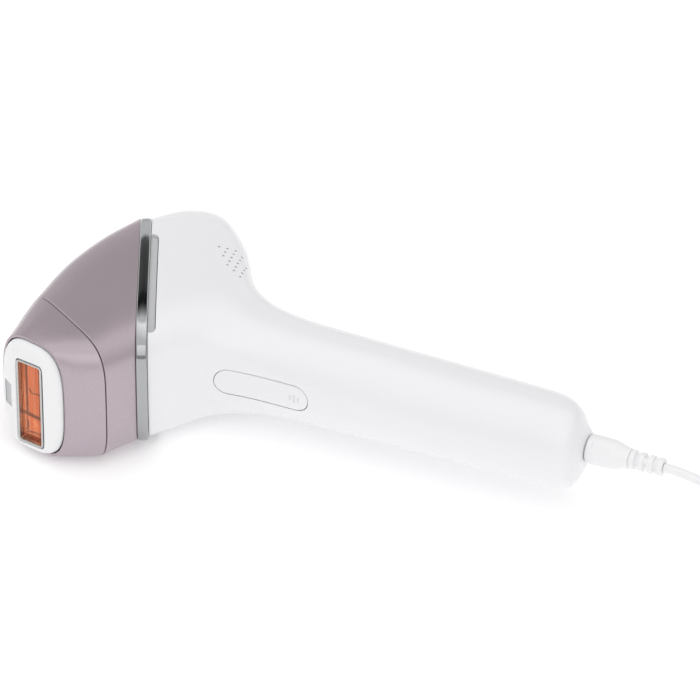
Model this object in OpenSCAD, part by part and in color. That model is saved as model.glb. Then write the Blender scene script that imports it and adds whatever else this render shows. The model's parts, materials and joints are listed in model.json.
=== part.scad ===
// IPL hair remover: a pulsed-light head on a round handle, lying on its side,
// with its pull-off nose attachment, its low-voltage lead and its mains adapter.
// Design frame: zero lies on the chrome band's axis, +X runs along the handle to
// the lead, +Y points to the back and Z is across the device.

/* [Shell] */
// Wall thickness of the plastic casings
wall = 2; // [1.6:0.1:2.4]
// Half width of the head across its flat sides
head_w = 26; // [25:0.5:27]
// Half width of the round handle
grip_w = 18; // [17:0.5:19]
// Width of the chrome band
band_w = 4.2; // [4:0.1:5]
// How far the chrome band stands out of the casings
band_proud = 0.3; // [0.1:0.1:0.5]

/* [Window] */
// Length of the treatment window over its frame
window_l = 36.2; // [32:0.2:38]
// Width of the treatment window over its frame
window_w = 11.3; // [10:0.1:13]
// Height of the white contact bezel above its seat
bezel_h = 4.2; // [3:0.1:5]
// Inward travel of the sprung contact bezel
bezel_travel = 1.2; // [0.6:0.1:1.5]
// Distance that the nose attachment pulls off
pull_travel = 25; // [20:1:40]

/* [Controls] */
// Length of the flash button
flash_l = 37; // [32:1:40]
// Width of the flash button
flash_w = 10.4; // [9:0.2:12]
// Travel of the flash button
flash_travel = 1.4; // [0.8:0.1:1.6]
// Length of the power and intensity button
power_l = 16; // [12:1:18]
// Width of the two buttons on the back
back_button_w = 8; // [7:0.5:9]
// Travel of the two buttons on the back
back_travel = 0.8; // [0.4:0.1:1]

/* [Cooling] */
// Diameter of the fan blades
fan_d = 30; // [26:1:31]
// Number of fan blades
fan_blades = 7; // [5:1:9]
// Number of heat sink fins
fin_n = 9; // [7:1:11]

/* [Lead] */
// Diameter of the low-voltage lead
lead_d = 3.5; // [3:0.1:4]
// Radius of the coil at the middle of its turns
coil_r = 21; // [18:0.5:24]
// Diameter of the mains pins
pin_d = 4; // [3.8:0.1:4.2]
// Distance between the mains pins
pin_pitch = 18.6; // [17:0.1:20]
// Length of the mains pins
pin_l = 19; // [18:0.5:20]

/* [Hidden] */

EPS = 0.01;
GAP = 0.3;

// Where the design frame's zero lies from the middle of the device's base
MID = [71.8, -2.1];
BASE = head_w + band_proud;

// The body's stations, from the band to the socket: front edge x, y, back edge
// x, y, half width and squareness (2 is an ellipse)
BODY = [
    [18.6, -37.1, -17.4, 43.1, head_w, 5],
    [25.6, -28.2, -7.6, 54.2, head_w, 4.6],
    [32, -21.4, 6, 56.6, head_w - 1, 4.2],
    [39.4, -18.4, 21.7, 43.4, head_w - 2.8, 3.4],
    [49, -17.4, 34.6, 25, grip_w + 2.4, 2.7],
    [62, -17.4, 54, 18.4, grip_w + 0.2, 2.3],
    [90, -18.3, 90, 17.3, grip_w - 0.3, 2.1],
    [130, -18.9, 130, 16.6, grip_w - 1.1, 2.1],
    [158, -18.6, 158, 15.2, grip_w - 1.3, 2.1],
    [168, -18.3, 166, 13.4, grip_w - 1.3, 2.1],
    [175, -16.4, 172.3, 9, grip_w - 3.1, 2.1],
    [177.7, -11.4, 175.9, 5.2, grip_w - 8, 2],
    [178, -7.6, 178, 4.2, grip_w - 12.1, 2]
];

// The hood's stations, from the attachment's joint to the band
HOOD = [
    [9.3, -52.1, -34.2, -24.3, head_w - 0.1, 4.5],
    [11, -49.1, -33.3, 0.6, head_w, 4.7],
    [13.2, -45, -28.5, 23, head_w, 4.9],
    [15.5, -40.6, -21.3, 41.4, head_w, 5]
];

// The attachment's stations, from the bezel's seat to the joint
NOSE = [
    [-4.32, -58.37, -33.7, -50.7, head_w - 1.6, 3.3],
    [-0.2, -57.4, -33.9, -42.5, head_w - 0.8, 3.5],
    [4.2, -55.3, -34.3, -33.8, head_w - 0.3, 3.9],
    [9, -52.4, -34.3, -24.7, head_w - 0.1, 4.5]
];

// Angle of the line where the back cover meets the front housing
SEAM = 53;
SEAM_GAP = 0.25;

// The band's own directions, and its middle along its axis and its plane
BAND_A = atan2(0.41, 0.912);
BAND_X = -0.4;
BAND_MID = 1.5;

// The window: centre, and the direction it faces
WINDOW = [-18, -58.5];
WINDOW_A = 260;

// The attachment pulls off squarely to its joint
PULL_A = 234.8;

// The socket's and plug's axis
AXIS_Y = -1.7;
SOCKET_X = 178;

FLASH_X = 55.2;
POWER_X = 80;
SKIN_X = 64;

// ---------------------------------------------------------------- helpers

// Moves the design frame onto the device's base
module seat() {
    translate([-MID[0], -MID[1], BASE]) children();
}

// Local frame of the window: +X out of the window, Y across it, Z along it
module nose(x = 0, y = 0, z = 0) {
    translate([WINDOW[0], WINDOW[1], 0])
        rotate([0, 0, WINDOW_A])
            translate([x, y, z]) children();
}

// Local frame of the band: +X along its axis into the body, Y to the back
module band_frame() {
    rotate([0, 0, BAND_A]) children();
}

module box(size, at = [0, 0, 0]) {
    translate(at) cube(size, center = true);
}

module rod(d, l, at = [0, 0, 0], turn = [0, 0, 0], fn = 48) {
    translate(at) rotate(turn) cylinder(d = d, h = l, center = true, $fn = fn);
}

// A stadium plate in the XZ plane, its thickness running along +Y
module stadium(l, w, t) {
    rotate([-90, 0, 0])
        linear_extrude(t) stadium_outline(l, w);
}

module stadium_outline(l, w) {
    square([l - w, w], center = true);
    for (side = [-1, 1])
        translate([side * (l - w) / 2, 0]) circle(d = w, $fn = 48);
}

module rounded_plate(l, w, r) {
    square([l - 2 * r, w], center = true);
    square([l, w - 2 * r], center = true);
    for (x = [-1, 1], y = [-1, 1])
        translate([x * (l / 2 - r), y * (w / 2 - r)]) circle(r = r, $fn = 32);
}

// ------------------------------------------------------------ loft maths

// Catmull-Rom blend of four stations
function blend4(p0, p1, p2, p3, f) =
    0.5 * (2 * p1 + (p2 - p0) * f + (2 * p0 - 5 * p1 + 4 * p2 - p3) * f * f
        + (3 * p1 - p0 - 3 * p2 + p3) * f * f * f);

// Station of a table at t, from 0 at its first row to 1 at its last
function station(rows, t) =
    let (
        n = len(rows) - 1,
        i = max(0, min(floor(t * n), n - 1)),
        f = t * n - i,
        p1 = rows[i],
        p2 = rows[i + 1],
        p0 = i > 0 ? rows[i - 1] : 2 * p1 - p2,
        p3 = i + 2 <= n ? rows[i + 2] : 2 * p2 - p1
    )
    blend4(p0, p1, p2, p3, f);

// Point of a station's outline at angle a, moved inwards by inset
function on_station(row, a, inset) =
    let (
        front = [row[0], row[1]],
        back = [row[2], row[3]],
        mid = (front + back) / 2,
        half = norm(back - front) / 2,
        dir = (back - front) / (2 * half),
        n = row[5],
        k = pow(pow(abs(cos(a)), n) + pow(abs(sin(a)), n), -1 / n),
        u = max(half - inset, 0.5) * k * cos(a),
        z = max(row[4] - inset, 0.5) * k * sin(a)
    )
    [mid[0] + dir[0] * u, mid[1] + dir[1] * u, z];

// Quads between neighbouring rings of m points, as pairs of triangles
function ring_sides(count, m, total) = [
    for (i = [0 : count - 1]) for (j = [0 : m - 1])
        let (k = (j + 1) % m, low = i * m, high = ((i + 1) % total) * m)
        each [[low + j, high + j, high + k], [low + j, high + k, low + k]]
];

// Closed skin over rings of equal length, with flat ends
module skin(rings) {
    n = len(rings);
    m = len(rings[0]);
    low_end = [[for (j = [0 : m - 1]) j]];
    high_end = [[for (j = [m - 1 : -1 : 0]) (n - 1) * m + j]];
    polyhedron([for (ring = rings) each ring],
        concat(ring_sides(n - 1, m, n), low_end, high_end), convexity = 6);
}

// Skin over rings whose last meets the first, as round a frame
module looped_skin(rings) {
    n = len(rings);
    m = len(rings[0]);
    polyhedron([for (ring = rings) each ring], ring_sides(n, m, n), convexity = 6);
}

// Part of a lofted casing: the wall between angles a0 and a1
module wall_strip(rows, a0, a1, steps, rings, thick) {
    skin([
        for (i = [0 : rings])
            let (row = station(rows, i / rings))
            concat(
                [for (j = [0 : steps]) on_station(row, a0 + (a1 - a0) * j / steps, 0)],
                [for (j = [steps : -1 : 0])
                    on_station(row, a0 + (a1 - a0) * j / steps, thick)]
            )
    ]);
}

// Outline of a lofted casing at t, moved inwards by inset
function loft_ring(rows, t, inset) =
    let (row = station(rows, t))
    [for (j = [0 : 43]) on_station(row, 360 * j / 44, inset)];

// A whole lofted solid
module loft(rows, steps, rings, inset = 0, t0 = 0, t1 = 1) {
    skin([
        for (i = [0 : rings])
            let (row = station(rows, t0 + (t1 - t0) * i / rings))
            [for (j = [0 : steps - 1]) on_station(row, 360 * j / steps, inset)]
    ]);
}

// Joins the lofted meshes under it into one closed surface
module merged() {
    resize([0, 0, 0]) children();
}

// Rounded outline of two half sizes, squarer as n grows
function squircle(half, n, steps = 96) = [
    for (j = [0 : steps - 1])
        let (
            a = 360 * j / steps,
            k = pow(pow(abs(cos(a)), n) + pow(abs(sin(a)), n), -1 / n)
        )
        [half[0] * k * cos(a), half[1] * k * sin(a)]
];

// Outline of the band at a distance outside the casings
function band_outline(grow) = squircle([45 + grow, head_w + grow], 5);

// A plate across the band's axis, from x0 on
module band_plate(x0, thick, grow) {
    band_frame()
        translate([x0, 0, 0])
            rotate([90, 0, 90])
                linear_extrude(thick)
                    translate([BAND_MID, 0]) polygon(band_outline(grow));
}

// Sweep of a round tube along a route
function unit(v) = v / norm(v);
function heading(route, i) =
    unit(route[min(i + 1, len(route) - 1)] - route[max(i - 1, 0)]);
function tube_ring(at, dir, d, sides) =
    let (side = unit(cross(dir, [0.1, 0.2, 1])), up = cross(side, dir))
    [for (j = [0 : sides - 1])
        at + (side * cos(360 * j / sides) + up * sin(360 * j / sides)) * d / 2];

module tube(route, d, sides = 8) {
    skin([
        for (i = [len(route) - 1 : -1 : 0])
            tube_ring(route[i], heading(route, i), d, sides)
    ]);
}

// ------------------------------------------------------- fixed casings

// Pocket beside the band, on both flat sides, where the fan draws air in
POCKET_DEPTH = 3;
POCKET_U = [-34.7, 25.3];

module intake_pockets(clear = 0) {
    x0 = BAND_X + band_w / 2;
    length = POCKET_U[1] - POCKET_U[0] - 2 * clear;
    r = 2.6;
    band_frame()
        for (side = [-1, 1])
            translate([x0, (POCKET_U[0] + POCKET_U[1]) / 2, side * (head_w - 3)])
                linear_extrude(8, center = true) {
                    translate([(POCKET_DEPTH - clear - r) / 2, 0])
                        square([POCKET_DEPTH - clear - r, length], center = true);
                    translate([(POCKET_DEPTH - clear) / 2, 0])
                        square([POCKET_DEPTH - clear, length - 2 * r], center = true);
                    for (end = [-1, 1])
                        translate([POCKET_DEPTH - clear - r, end * (length / 2 - r)])
                            circle(r = r, $fn = 24);
                }
}

module front_housing() color([0.93, 0.93, 0.94]) seat()
    merged() difference() {
        wall_strip(BODY, SEAM + SEAM_GAP, 360 - SEAM - SEAM_GAP, 30, 30, wall);
        intake_pockets();
        translate([FLASH_X, -30, 0]) stadium(flash_l + 2 * GAP, flash_w + 2 * GAP, 20);
    }

module back_cover() color([0.93, 0.93, 0.94]) seat()
    merged() difference() {
        wall_strip(BODY, -SEAM, SEAM, 14, 30, wall);
        translate([POWER_X, 5, 0])
            stadium(power_l + 2 * GAP, back_button_w + 2 * GAP, 20);
        translate([SKIN_X, 5, 0]) rod(back_button_w + 2 * GAP, 40, turn = [90, 0, 0]);
        for (i = [0 : LIGHTS - 1])
            rod(LIGHT_D + 0.4, 20, [light_x(i), 15, 0], [90, 0, 0], 16);
    }

module chrome_band() color([0.75, 0.76, 0.78]) seat()
    difference() {
        band_plate(BAND_X + 0.05 - band_w / 2, band_w - 0.1, band_proud);
        band_plate(BAND_X - band_w / 2 - 1, band_w + 2, -3.6);
    }

module hood() color([0.70, 0.63, 0.66]) seat()
    looped_skin([
        for (i = [0 : 9]) loft_ring(HOOD, i / 9, 0),
        for (i = [9 : -1 : 0]) loft_ring(HOOD, i / 9, wall)
    ]);

module intake_grilles() color([0.62, 0.63, 0.64]) seat()
    merged() intersection() {
        intake_pockets(GAP);
        difference() {
            loft(BODY, 44, 20, 1.3);
            loft(BODY, 44, 20, 2.5, -0.01, 1.01);
        }
    }

// Where the warm air leaves, on both flat sides near the back
VENT = [24, 22.8];
VENT_D = 19;

// The screens stop short of the back cover's edge
module exhaust_screens() color([0.35, 0.36, 0.38]) seat()
    merged() intersection() {
        translate([VENT[0], VENT[1], 0]) cylinder(d = VENT_D, h = 60, center = true);
        translate([22.5, 32, 0]) rotate(-51.6) translate([-30, -60, -30]) cube(60);
        difference() {
            loft(BODY, 44, 20, wall + 0.5);
            loft(BODY, 44, 20, wall + 1.3, -0.01, 1.01);
        }
    }

// ------------------------------------------------------- inside the handle

// Height of the frame's rails and of the boards that lie on them
RAIL_Y = [-10.5, -8];
RAIL_Z = 10.5;
BOARD_T = 1.6;
MAIN_BOARD_Y = 3;
CONTROL_BOARD_Y = 10.4;
SWITCH_BOARD_Y = -8.8;
FRAME_X = [62, 81, 123, 160];
SCREW_X = [71, 118];

module inner_frame() color([0.82, 0.82, 0.80]) seat() {
    rib = 2.5;
    rail_h = RAIL_Y[1] - RAIL_Y[0];
    rail_l = FRAME_X[3] - FRAME_X[0] + rib;
    rib_h = CONTROL_BOARD_Y - RAIL_Y[0];
    // Tall ribs under the control board, and a low one at the socket's end
    for (i = [0 : 2])
        box([rib, rib_h, 14], [FRAME_X[i], RAIL_Y[0] + rib_h / 2, 0]);
    for (x = FRAME_X)
        box([rib, rail_h, 2 * RAIL_Z - 1], [x, RAIL_Y[0] + rail_h / 2, 0]);
    for (side = [-1, 1]) {
        box([rail_l, rail_h, 1.8],
            [(FRAME_X[0] + FRAME_X[3]) / 2, (RAIL_Y[0] + RAIL_Y[1]) / 2, side * RAIL_Z]);
        // Arms that carry the main board in the neck
        box([30, 1.5, 3], [FRAME_X[0] - 15, MAIN_BOARD_Y - 0.75, side * 5.4]);
    }
    // Shelf under the flash switch
    box([16, 2, 12], [FRAME_X[0] - 7, SWITCH_BOARD_Y + BOARD_T + 1, 0]);
    // Posts that the housing screws go into
    for (x = SCREW_X, side = [-1, 1])
        translate([x, RAIL_Y[1] - EPS, side * RAIL_Z])
            rotate([-90, 0, 0])
                difference() {
                    cylinder(d = 4.4, h = 10.4);
                    translate([0, 0, 2]) cylinder(d = 2.1, h = 9);
                }
}

module main_board() color([0.10, 0.36, 0.20]) seat()
    difference() {
        box([28, BOARD_T, 30], [45, MAIN_BOARD_Y + BOARD_T / 2, 0]);
        for (x = [34, 56], z = [-12, 12])
            rod(2.2, 4, [x, MAIN_BOARD_Y + 1, z], [90, 0, 0], 24);
    }

module main_board_chips() color([0.12, 0.12, 0.13]) seat() {
    top = MAIN_BOARD_Y + BOARD_T;
    box([9, 1.4, 9], [48, top + 0.7, 4]);
    box([6, 1.6, 5], [38, top + 0.8, -8]);
    box([10, 5, 4], [50, top + 2.5, -10]);
    for (z = [9, 12])
        box([3, 1.2, 1.6], [38, top + 0.6, z]);
    rod(6, 5, [54, top + 2.5, 9], [90, 0, 0]);
}

module trigger_coil() color([0.55, 0.20, 0.14]) seat() {
    top = MAIN_BOARD_Y + BOARD_T;
    rod(7.6, 9, [36, top + 4.3, 1], [0, 0, 0]);
    for (end = [-1, 1])
        rod(8.6, 1.2, [36, top + 4.3, 1 + end * 5.1], [0, 0, 0]);
}

module flash_capacitor() color([0.14, 0.17, 0.30]) seat()
    translate([FRAME_X[1] + 3.5, -1.2, 0]) rotate([0, 90, 0]) {
        cylinder(d = 19, h = 30);
        translate([0, 0, 30]) cylinder(d = 17, h = 1.2);
        for (side = [-1, 1])
            translate([side * 4, 0, 31]) cylinder(d = 1, h = 1.4, $fn = 16);
    }

POWER_BOARD_X = 141.5;

module power_board() color([0.10, 0.36, 0.20]) seat()
    box([33, BOARD_T, 2 * RAIL_Z - 2], [POWER_BOARD_X, RAIL_Y[1] + BOARD_T / 2, 0]);

module power_board_parts() color([0.78, 0.66, 0.22]) seat() {
    top = RAIL_Y[1] + BOARD_T;
    box([14, 10, 13], [134, top + 5, 0]);
    box([10, 12, 15], [134, top + 6, 0]);
    for (z = [-5, 5])
        rod(7.6, 11, [150, top + 5.5, z], [90, 0, 0]);
    box([2, 9, 9], [144, top + 4.5, 0]);
}

// The five intensity lights on the back
LIGHTS = 5;
LIGHT_D = 2;
function light_x(i) = 94 + 5 * i;

module control_board() color([0.10, 0.36, 0.20]) seat()
    box([64, BOARD_T, 17], [88, CONTROL_BOARD_Y + BOARD_T / 2, 0]);

module back_switches() color([0.15, 0.15, 0.16]) seat()
    for (x = [POWER_X, SKIN_X]) {
        box([6, 0.6, 6], [x, CONTROL_BOARD_Y + BOARD_T + 0.3, 0]);
        rod(3, 0.9, [x, CONTROL_BOARD_Y + BOARD_T + 0.45, 0], [90, 0, 0], 24);
    }

module indicator_lights() color([0.92, 0.95, 0.98]) seat()
    for (i = [0 : LIGHTS - 1])
        translate([light_x(i), CONTROL_BOARD_Y + BOARD_T, 0]) rotate([-90, 0, 0]) {
            cylinder(d = 3, h = 1.6, $fn = 24);
            cylinder(d = LIGHT_D, h = 5.2, $fn = 24);
        }

module flash_switch() color([0.15, 0.15, 0.16]) seat() {
    box([9.4, BOARD_T, 11], [FLASH_X, SWITCH_BOARD_Y + BOARD_T / 2, 0]);
    box([7, 3.4, 7], [FLASH_X, SWITCH_BOARD_Y - 1.7, 0]);
    rod(3.4, 0.6, [FLASH_X, SWITCH_BOARD_Y - 3.6, 0], [90, 0, 0], 24);
}

// ------------------------------------------------------- controls

FLASH_TOP = -17.7;
FLASH_T = 2.6;

module button_guide() color([0.80, 0.80, 0.79]) seat()
    translate([FLASH_X, -14.2, 0])
        difference() {
            stadium(flash_l + 2.8, flash_w + 2.8, 1.4);
            translate([0, -1, 0]) stadium(flash_l + 2 * GAP, flash_w + 2 * GAP, 4);
        }

module flash_button() color([0.94, 0.94, 0.95]) seat()
    translate([FLASH_X, FLASH_TOP, 0]) {
        stadium(flash_l, flash_w, FLASH_T);
        translate([0, FLASH_T - EPS, 0]) stadium(8, 5, 0.7);
    }

module power_button() color([0.88, 0.88, 0.89]) seat()
    translate([POWER_X, 14.2, 0]) {
        stadium(power_l, back_button_w, 3.4);
        rod(3, 1, [0, 0.3, 0], [90, 0, 0], 24);
    }

module skin_button() color([0.88, 0.88, 0.89]) seat()
    translate([SKIN_X, 14.2, 0]) {
        rod(back_button_w, 4, [0, 2, 0], [90, 0, 0]);
        rod(3, 1, [0, 0.3, 0], [90, 0, 0], 24);
    }

// ------------------------------------------------------- light engine

LAMP_X = -36;

module flash_tube() color([0.85, 0.90, 0.95, 0.6]) seat()
    nose(LAMP_X)
        difference() {
            cylinder(d = 5, h = 36, center = true);
            cylinder(d = 3.6, h = 30, center = true);
        }

module tube_caps() color([0.72, 0.72, 0.74]) seat()
    for (side = [-1, 1])
        nose(LAMP_X, 0, side * 20.05) cylinder(d = 5.6, h = 4, center = true);

module lamp_holders() color([0.90, 0.88, 0.82]) seat()
    for (side = [-1, 1])
        nose(LAMP_X, 0, side * 20.1)
            difference() {
                cube([11, 14, 3], center = true);
                cylinder(d = 5.7, h = 6, center = true);
            }

module reflector() color([0.85, 0.86, 0.88]) seat()
    nose(LAMP_X)
        linear_extrude(36, center = true)
            difference() {
                circle(d = 14, $fn = 48);
                circle(d = 12.8, $fn = 48);
                translate([4.2, -10]) square([10, 20]);
            }

module heat_sink() color([0.74, 0.75, 0.77]) seat()
    nose(-50) {
        translate([5, 0, 0]) cube([2.4, 20, 36], center = true);
        for (i = [0 : fin_n - 1])
            translate([-1.2, 0, (i - (fin_n - 1) / 2) * 34 / (fin_n - 1)])
                cube([10.2, 20, 1], center = true);
    }

// Local frame of the attachment's joint: +X the way the attachment pulls off
JOINT = [-13.05, -37.4];

module joint_frame() {
    translate([JOINT[0], JOINT[1], 0]) rotate([0, 0, PULL_A]) children();
}

// Height of the light path's middle in the joint's plane
PATH_Y = -1.1;

// Half sizes of the plate behind the joint
BULKHEAD = [23.6, 21.8];

module front_bulkhead() color([0.90, 0.90, 0.89]) seat()
    joint_frame()
        translate([-2.05, 0, 0])
            rotate([90, 0, 90])
                linear_extrude(1.65)
                    difference() {
                        polygon(squircle(BULKHEAD, 3.9));
                        translate([PATH_Y, 0]) square([14.5, 34], center = true);
                        for (z = [-4, 0, 4])
                            translate([16, z]) circle(d = 1.9, $fn = 24);
                    }

module filter_pane() color([0.75, 0.86, 0.92, 0.6]) seat()
    joint_frame() box([1.2, 16, 38], [-3, PATH_Y, 0]);

module contact_block() color([0.20, 0.20, 0.21]) seat()
    joint_frame() {
        box([2.4, 5, 14], [-3.3, 16, 0]);
        for (z = [-4, 0, 4])
            rod(1.4, 1.6, [-1.4, 16, z], [0, 90, 0], 24);
    }

// ------------------------------------------------------- cooling fan

FAN_X = -74;
FAN_T = 10;

module fan_frame() color([0.16, 0.16, 0.17]) seat()
    nose(FAN_X) {
        difference() {
            cube([FAN_T, 34, 34], center = true);
            rotate([0, 90, 0]) cylinder(d = fan_d + 1.4, h = FAN_T + 2, center = true, $fn = 96);
        }
        // Arms that hold the motor
        for (turn = [45 : 90 : 315])
            rotate([turn, 0, 0])
                translate([FAN_T / 2 - 0.75, 0, fan_d / 4 + 3.2])
                    cube([1.5, 1.6, fan_d / 2 - 5.2], center = true);
        translate([FAN_T / 2 - 0.75, 0, 0])
            rotate([0, 90, 0]) cylinder(d = 13, h = 1.5, center = true);
    }

module fan_motor() color([0.72, 0.45, 0.22]) seat()
    nose(FAN_X + 0.5)
        rotate([0, 90, 0])
            difference() {
                cylinder(d = 9, h = 5.8, center = true);
                cylinder(d = 2.1, h = 8, center = true);
            }

module fan_rotor() color([0.22, 0.22, 0.24]) seat()
    nose(FAN_X)
        rotate([0, 90, 0]) {
            difference() {
                translate([0, 0, -0.6]) cylinder(d = 12.4, h = 7, center = true);
                translate([0, 0, 0.6]) cylinder(d = 10.4, h = 7, center = true);
            }
            translate([0, 0, -0.1]) cylinder(d = 2, h = 6.4, center = true);
            for (i = [0 : fan_blades - 1])
                rotate([0, 0, 360 * i / fan_blades])
                    translate([(fan_d + 12) / 4, 0, -0.6])
                        rotate([35, 0, 0])
                            cube([(fan_d - 12) / 2, 7, 0.8], center = true);
        }

// ------------------------------------------------------- socket and wiring

BARREL_D = 5.5;
SOCKET_BORE = 5.7;

module dc_socket() color([0.13, 0.13, 0.14]) seat()
    translate([SOCKET_X, AXIS_Y, 0]) rotate([0, 90, 0])
        difference() {
            translate([0, 0, -13.5]) cylinder(d = 7.2, h = 13.5);
            translate([0, 0, -11.5]) cylinder(d = SOCKET_BORE, h = 13);
            translate([0, 0, -14]) cylinder(d = 2, h = 4);
        }

module socket_pin() color([0.80, 0.72, 0.45]) seat()
    translate([SOCKET_X, AXIS_Y, 0]) rotate([0, 90, 0])
        translate([0, 0, -15.5]) cylinder(d = 2, h = 13.5);

WIRES = [
    [[162.4, -2, 3], [161.9, 6, 4], [156, 7.4, 4.5], [140, 7.8, 4.5], [124, 8.8, 8.4],
        [122, 9, 9.4], [84, 9, 9.6], [66, 8.8, 9], [60, 7, 8]],
    [[162.4, -2, -3], [161.9, 6, -4], [156, 7.4, -4.5], [140, 7.8, -4.5],
        [124, 8.8, -8.4], [122, 9, -9.4], [84, 9, -9.6], [66, 8.8, -9], [60, 7, -8]],
    [[30, 3, 6], [24, 0, 14], [12, -6, 19.5], [2, -14, 20.6], [-4, -20, 22.4]],
    [[30, 3, -6], [24, 0, -14], [12, -6, -19.5], [2, -14, -20.6], [-4, -20, -22.4]]
];

module wiring() color([0.70, 0.12, 0.10]) seat()
    for (route = WIRES)
        tube(route, 1.3, 8);

module housing_screws() color([0.60, 0.61, 0.63]) seat()
    for (x = SCREW_X, side = [-1, 1])
        translate([x, -4.5, side * RAIL_Z]) rotate([-90, 0, 0]) {
            cylinder(d = 2, h = 7);
            translate([0, 0, 7]) cylinder(d = 3.6, h = 1.6);
        }

// ------------------------------------------------------- nose attachment

NOSE_WALL = 1.4;

// The thin rim that the bezel slides into, and where it ends
RIM_WALL = 0.8;
RIM_T = 0.3;

module attachment_shell() color([0.70, 0.63, 0.66]) seat()
    looped_skin([
        for (i = [0 : 9]) loft_ring(NOSE, i / 9, 0),
        for (i = [6 : -1 : 0]) loft_ring(NOSE, RIM_T + (1 - RIM_T) * i / 6, NOSE_WALL),
        for (i = [3 : -1 : 0]) loft_ring(NOSE, RIM_T * i / 3, RIM_WALL)
    ]);

// The bezel's outline in its seat's plane, moved inwards by inset; the plane
// falls away from the window towards the back
BEZEL_HALF = [14, 23.2];
BEZEL_Y = -1.75;
BEZEL_SEAT = -2.6;
BEZEL_FALL = 0.08;

function bezel_ring(x, inset) = [
    for (p = squircle([BEZEL_HALF[0] - inset, BEZEL_HALF[1] - inset], 3.2, 48))
        [x - BEZEL_FALL * (BEZEL_HALF[0] - p[0]), BEZEL_Y + p[0], p[1]]
];

// The bezel's opening: nearly a rectangle round the window frame
function opening_ring(x, grow) = [
    for (p = squircle([window_w / 2 + grow, window_l / 2 + grow], 14, 48))
        [x, p[0], p[1]]
];

SENSOR = [4, 10];
SENSOR_Y = -10.8;

module contact_bezel() color([0.95, 0.95, 0.95]) seat() {
    low = BEZEL_SEAT - 3.4;
    top = BEZEL_SEAT + bezel_h;
    merged() difference() {
        nose() looped_skin([
            bezel_ring(low, 0.4),
            bezel_ring(BEZEL_SEAT, 0),
            bezel_ring(top - bezel_h * 0.5, 0.8),
            bezel_ring(top - bezel_h * 0.2, 2.8),
            opening_ring(top, 1.6),
            opening_ring(top, 0.7),
            opening_ring(top - 0.4, 0.35),
            opening_ring(low, 0.35)
        ]);
        nose(top - 1.2, SENSOR_Y) cube([4, SENSOR[0] + 0.2, SENSOR[1] + 0.2], center = true);
    }
}

module sensor_window() color([0.62, 0.63, 0.64]) seat()
    nose(BEZEL_SEAT + bezel_h - 2.5, SENSOR_Y) cube([1.2, SENSOR[0], SENSOR[1]], center = true);

FRAME_RIM = 0.85;

module window_frame() color([0.72, 0.72, 0.73]) seat()
    nose(-1.6) rotate([90, 0, 90])
        linear_extrude(3.3)
            difference() {
                rounded_plate(window_w, window_l, 1.6);
                rounded_plate(window_w - 2 * FRAME_RIM, window_l - 2 * FRAME_RIM, 1);
            }

module window_glass() color([0.86, 0.42, 0.20, 0.7]) seat()
    nose(-1.6) rotate([90, 0, 90])
        linear_extrude(1.2)
            rounded_plate(window_w - 2 * FRAME_RIM - 0.1, window_l - 2 * FRAME_RIM - 0.1, 0.9);

module light_tunnel() color([0.88, 0.88, 0.90]) seat()
    nose(-9.7) rotate([0, 90, 0])
        difference() {
            cube([window_l - 2.3, window_w - 0.2, 16], center = true);
            cube([window_l - 4.3, window_w - 2.2, 18], center = true);
        }

// Plate round the light tunnel, with the stops under the bezel
CARRIER_X = -11.5;

module attachment_frame() color([0.90, 0.90, 0.89]) seat()
    nose(CARRIER_X) rotate([90, 0, 90])
        linear_extrude(2, center = true)
            difference() {
                polygon([for (p = bezel_ring(0, 1.4)) [p[1], p[2]]]);
                square([window_w + 0.1, window_l - 2], center = true);
            }

module pressure_pads() color([0.25, 0.25, 0.26]) seat()
    for (z = [-19.2, 19.2], y = [-8, 8])
        nose(CARRIER_X + 1, y, z)
            rotate([0, 90, 0]) {
                cylinder(d = 2.4, h = 1.6);
            }

// ------------------------------------------------------- lead and adapter

// Zero at the socket's face, on the socket's axis, +Z along the lead
module at_socket() {
    translate([SOCKET_X, AXIS_Y, 0]) rotate([0, 90, 0]) children();
}

PLUG_L = 16.5;
RELIEF_L = 13;

module plug_body() color([0.90, 0.90, 0.91]) seat()
    at_socket()
        rotate_extrude($fn = 64)
            polygon([[1.6, GAP], [4.9, GAP], [5.5, GAP + 0.6], [5.5, 9.6], [5.1, 11.6],
                [4, 15], [3.7, PLUG_L], [1.6, PLUG_L]]);

module plug_barrel() color([0.80, 0.80, 0.82]) seat()
    at_socket()
        difference() {
            union() {
                translate([0, 0, -11]) cylinder(d = BARREL_D, h = 11 + GAP);
                translate([0, 0, GAP]) cylinder(d = 3.1, h = 6);
            }
            translate([0, 0, -11.5]) cylinder(d = 2.5, h = 12);
        }

module plug_relief() color([0.90, 0.90, 0.91]) seat()
    at_socket()
        translate([0, 0, PLUG_L]) {
            cylinder(d = 4.6, h = RELIEF_L);
            for (i = [0 : 3])
                translate([0, 0, i * 3.6]) cylinder(d = 7.2 - 0.2 * i, h = 2.2);
        }

// The lead leaves the plug, sinks to the floor and runs into its coil
LEAD_ROUTE = [
    [207.6, -1.7, 0], [213, -1.7, -0.3], [219, -1.8, -1.2], [226, -2, -3],
    [233, -2.6, -6.2], [240, -3.6, -10.2], [247, -5, -14.6], [254, -6.8, -18.8],
    [261, -8.8, -22], [268, -10.8, -24], [274.5, -12, -24.5]
];

// The lead's end leaves the coil's top for the adapter
END_ROUTE = [
    [308.3, 18, -14.5], [308.6, 23.5, -13.6], [308.9, 28, -12.9], [309, 33, -12.5],
    [309, 38, -12.3]
];

module lead() color([0.92, 0.92, 0.92]) seat() {
    tube(LEAD_ROUTE, lead_d);
    tube(END_ROUTE, lead_d);
}

COIL = [282, 14];
COIL_TURNS = [4, 3];
COIL_FLOOR = -BASE;

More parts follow.
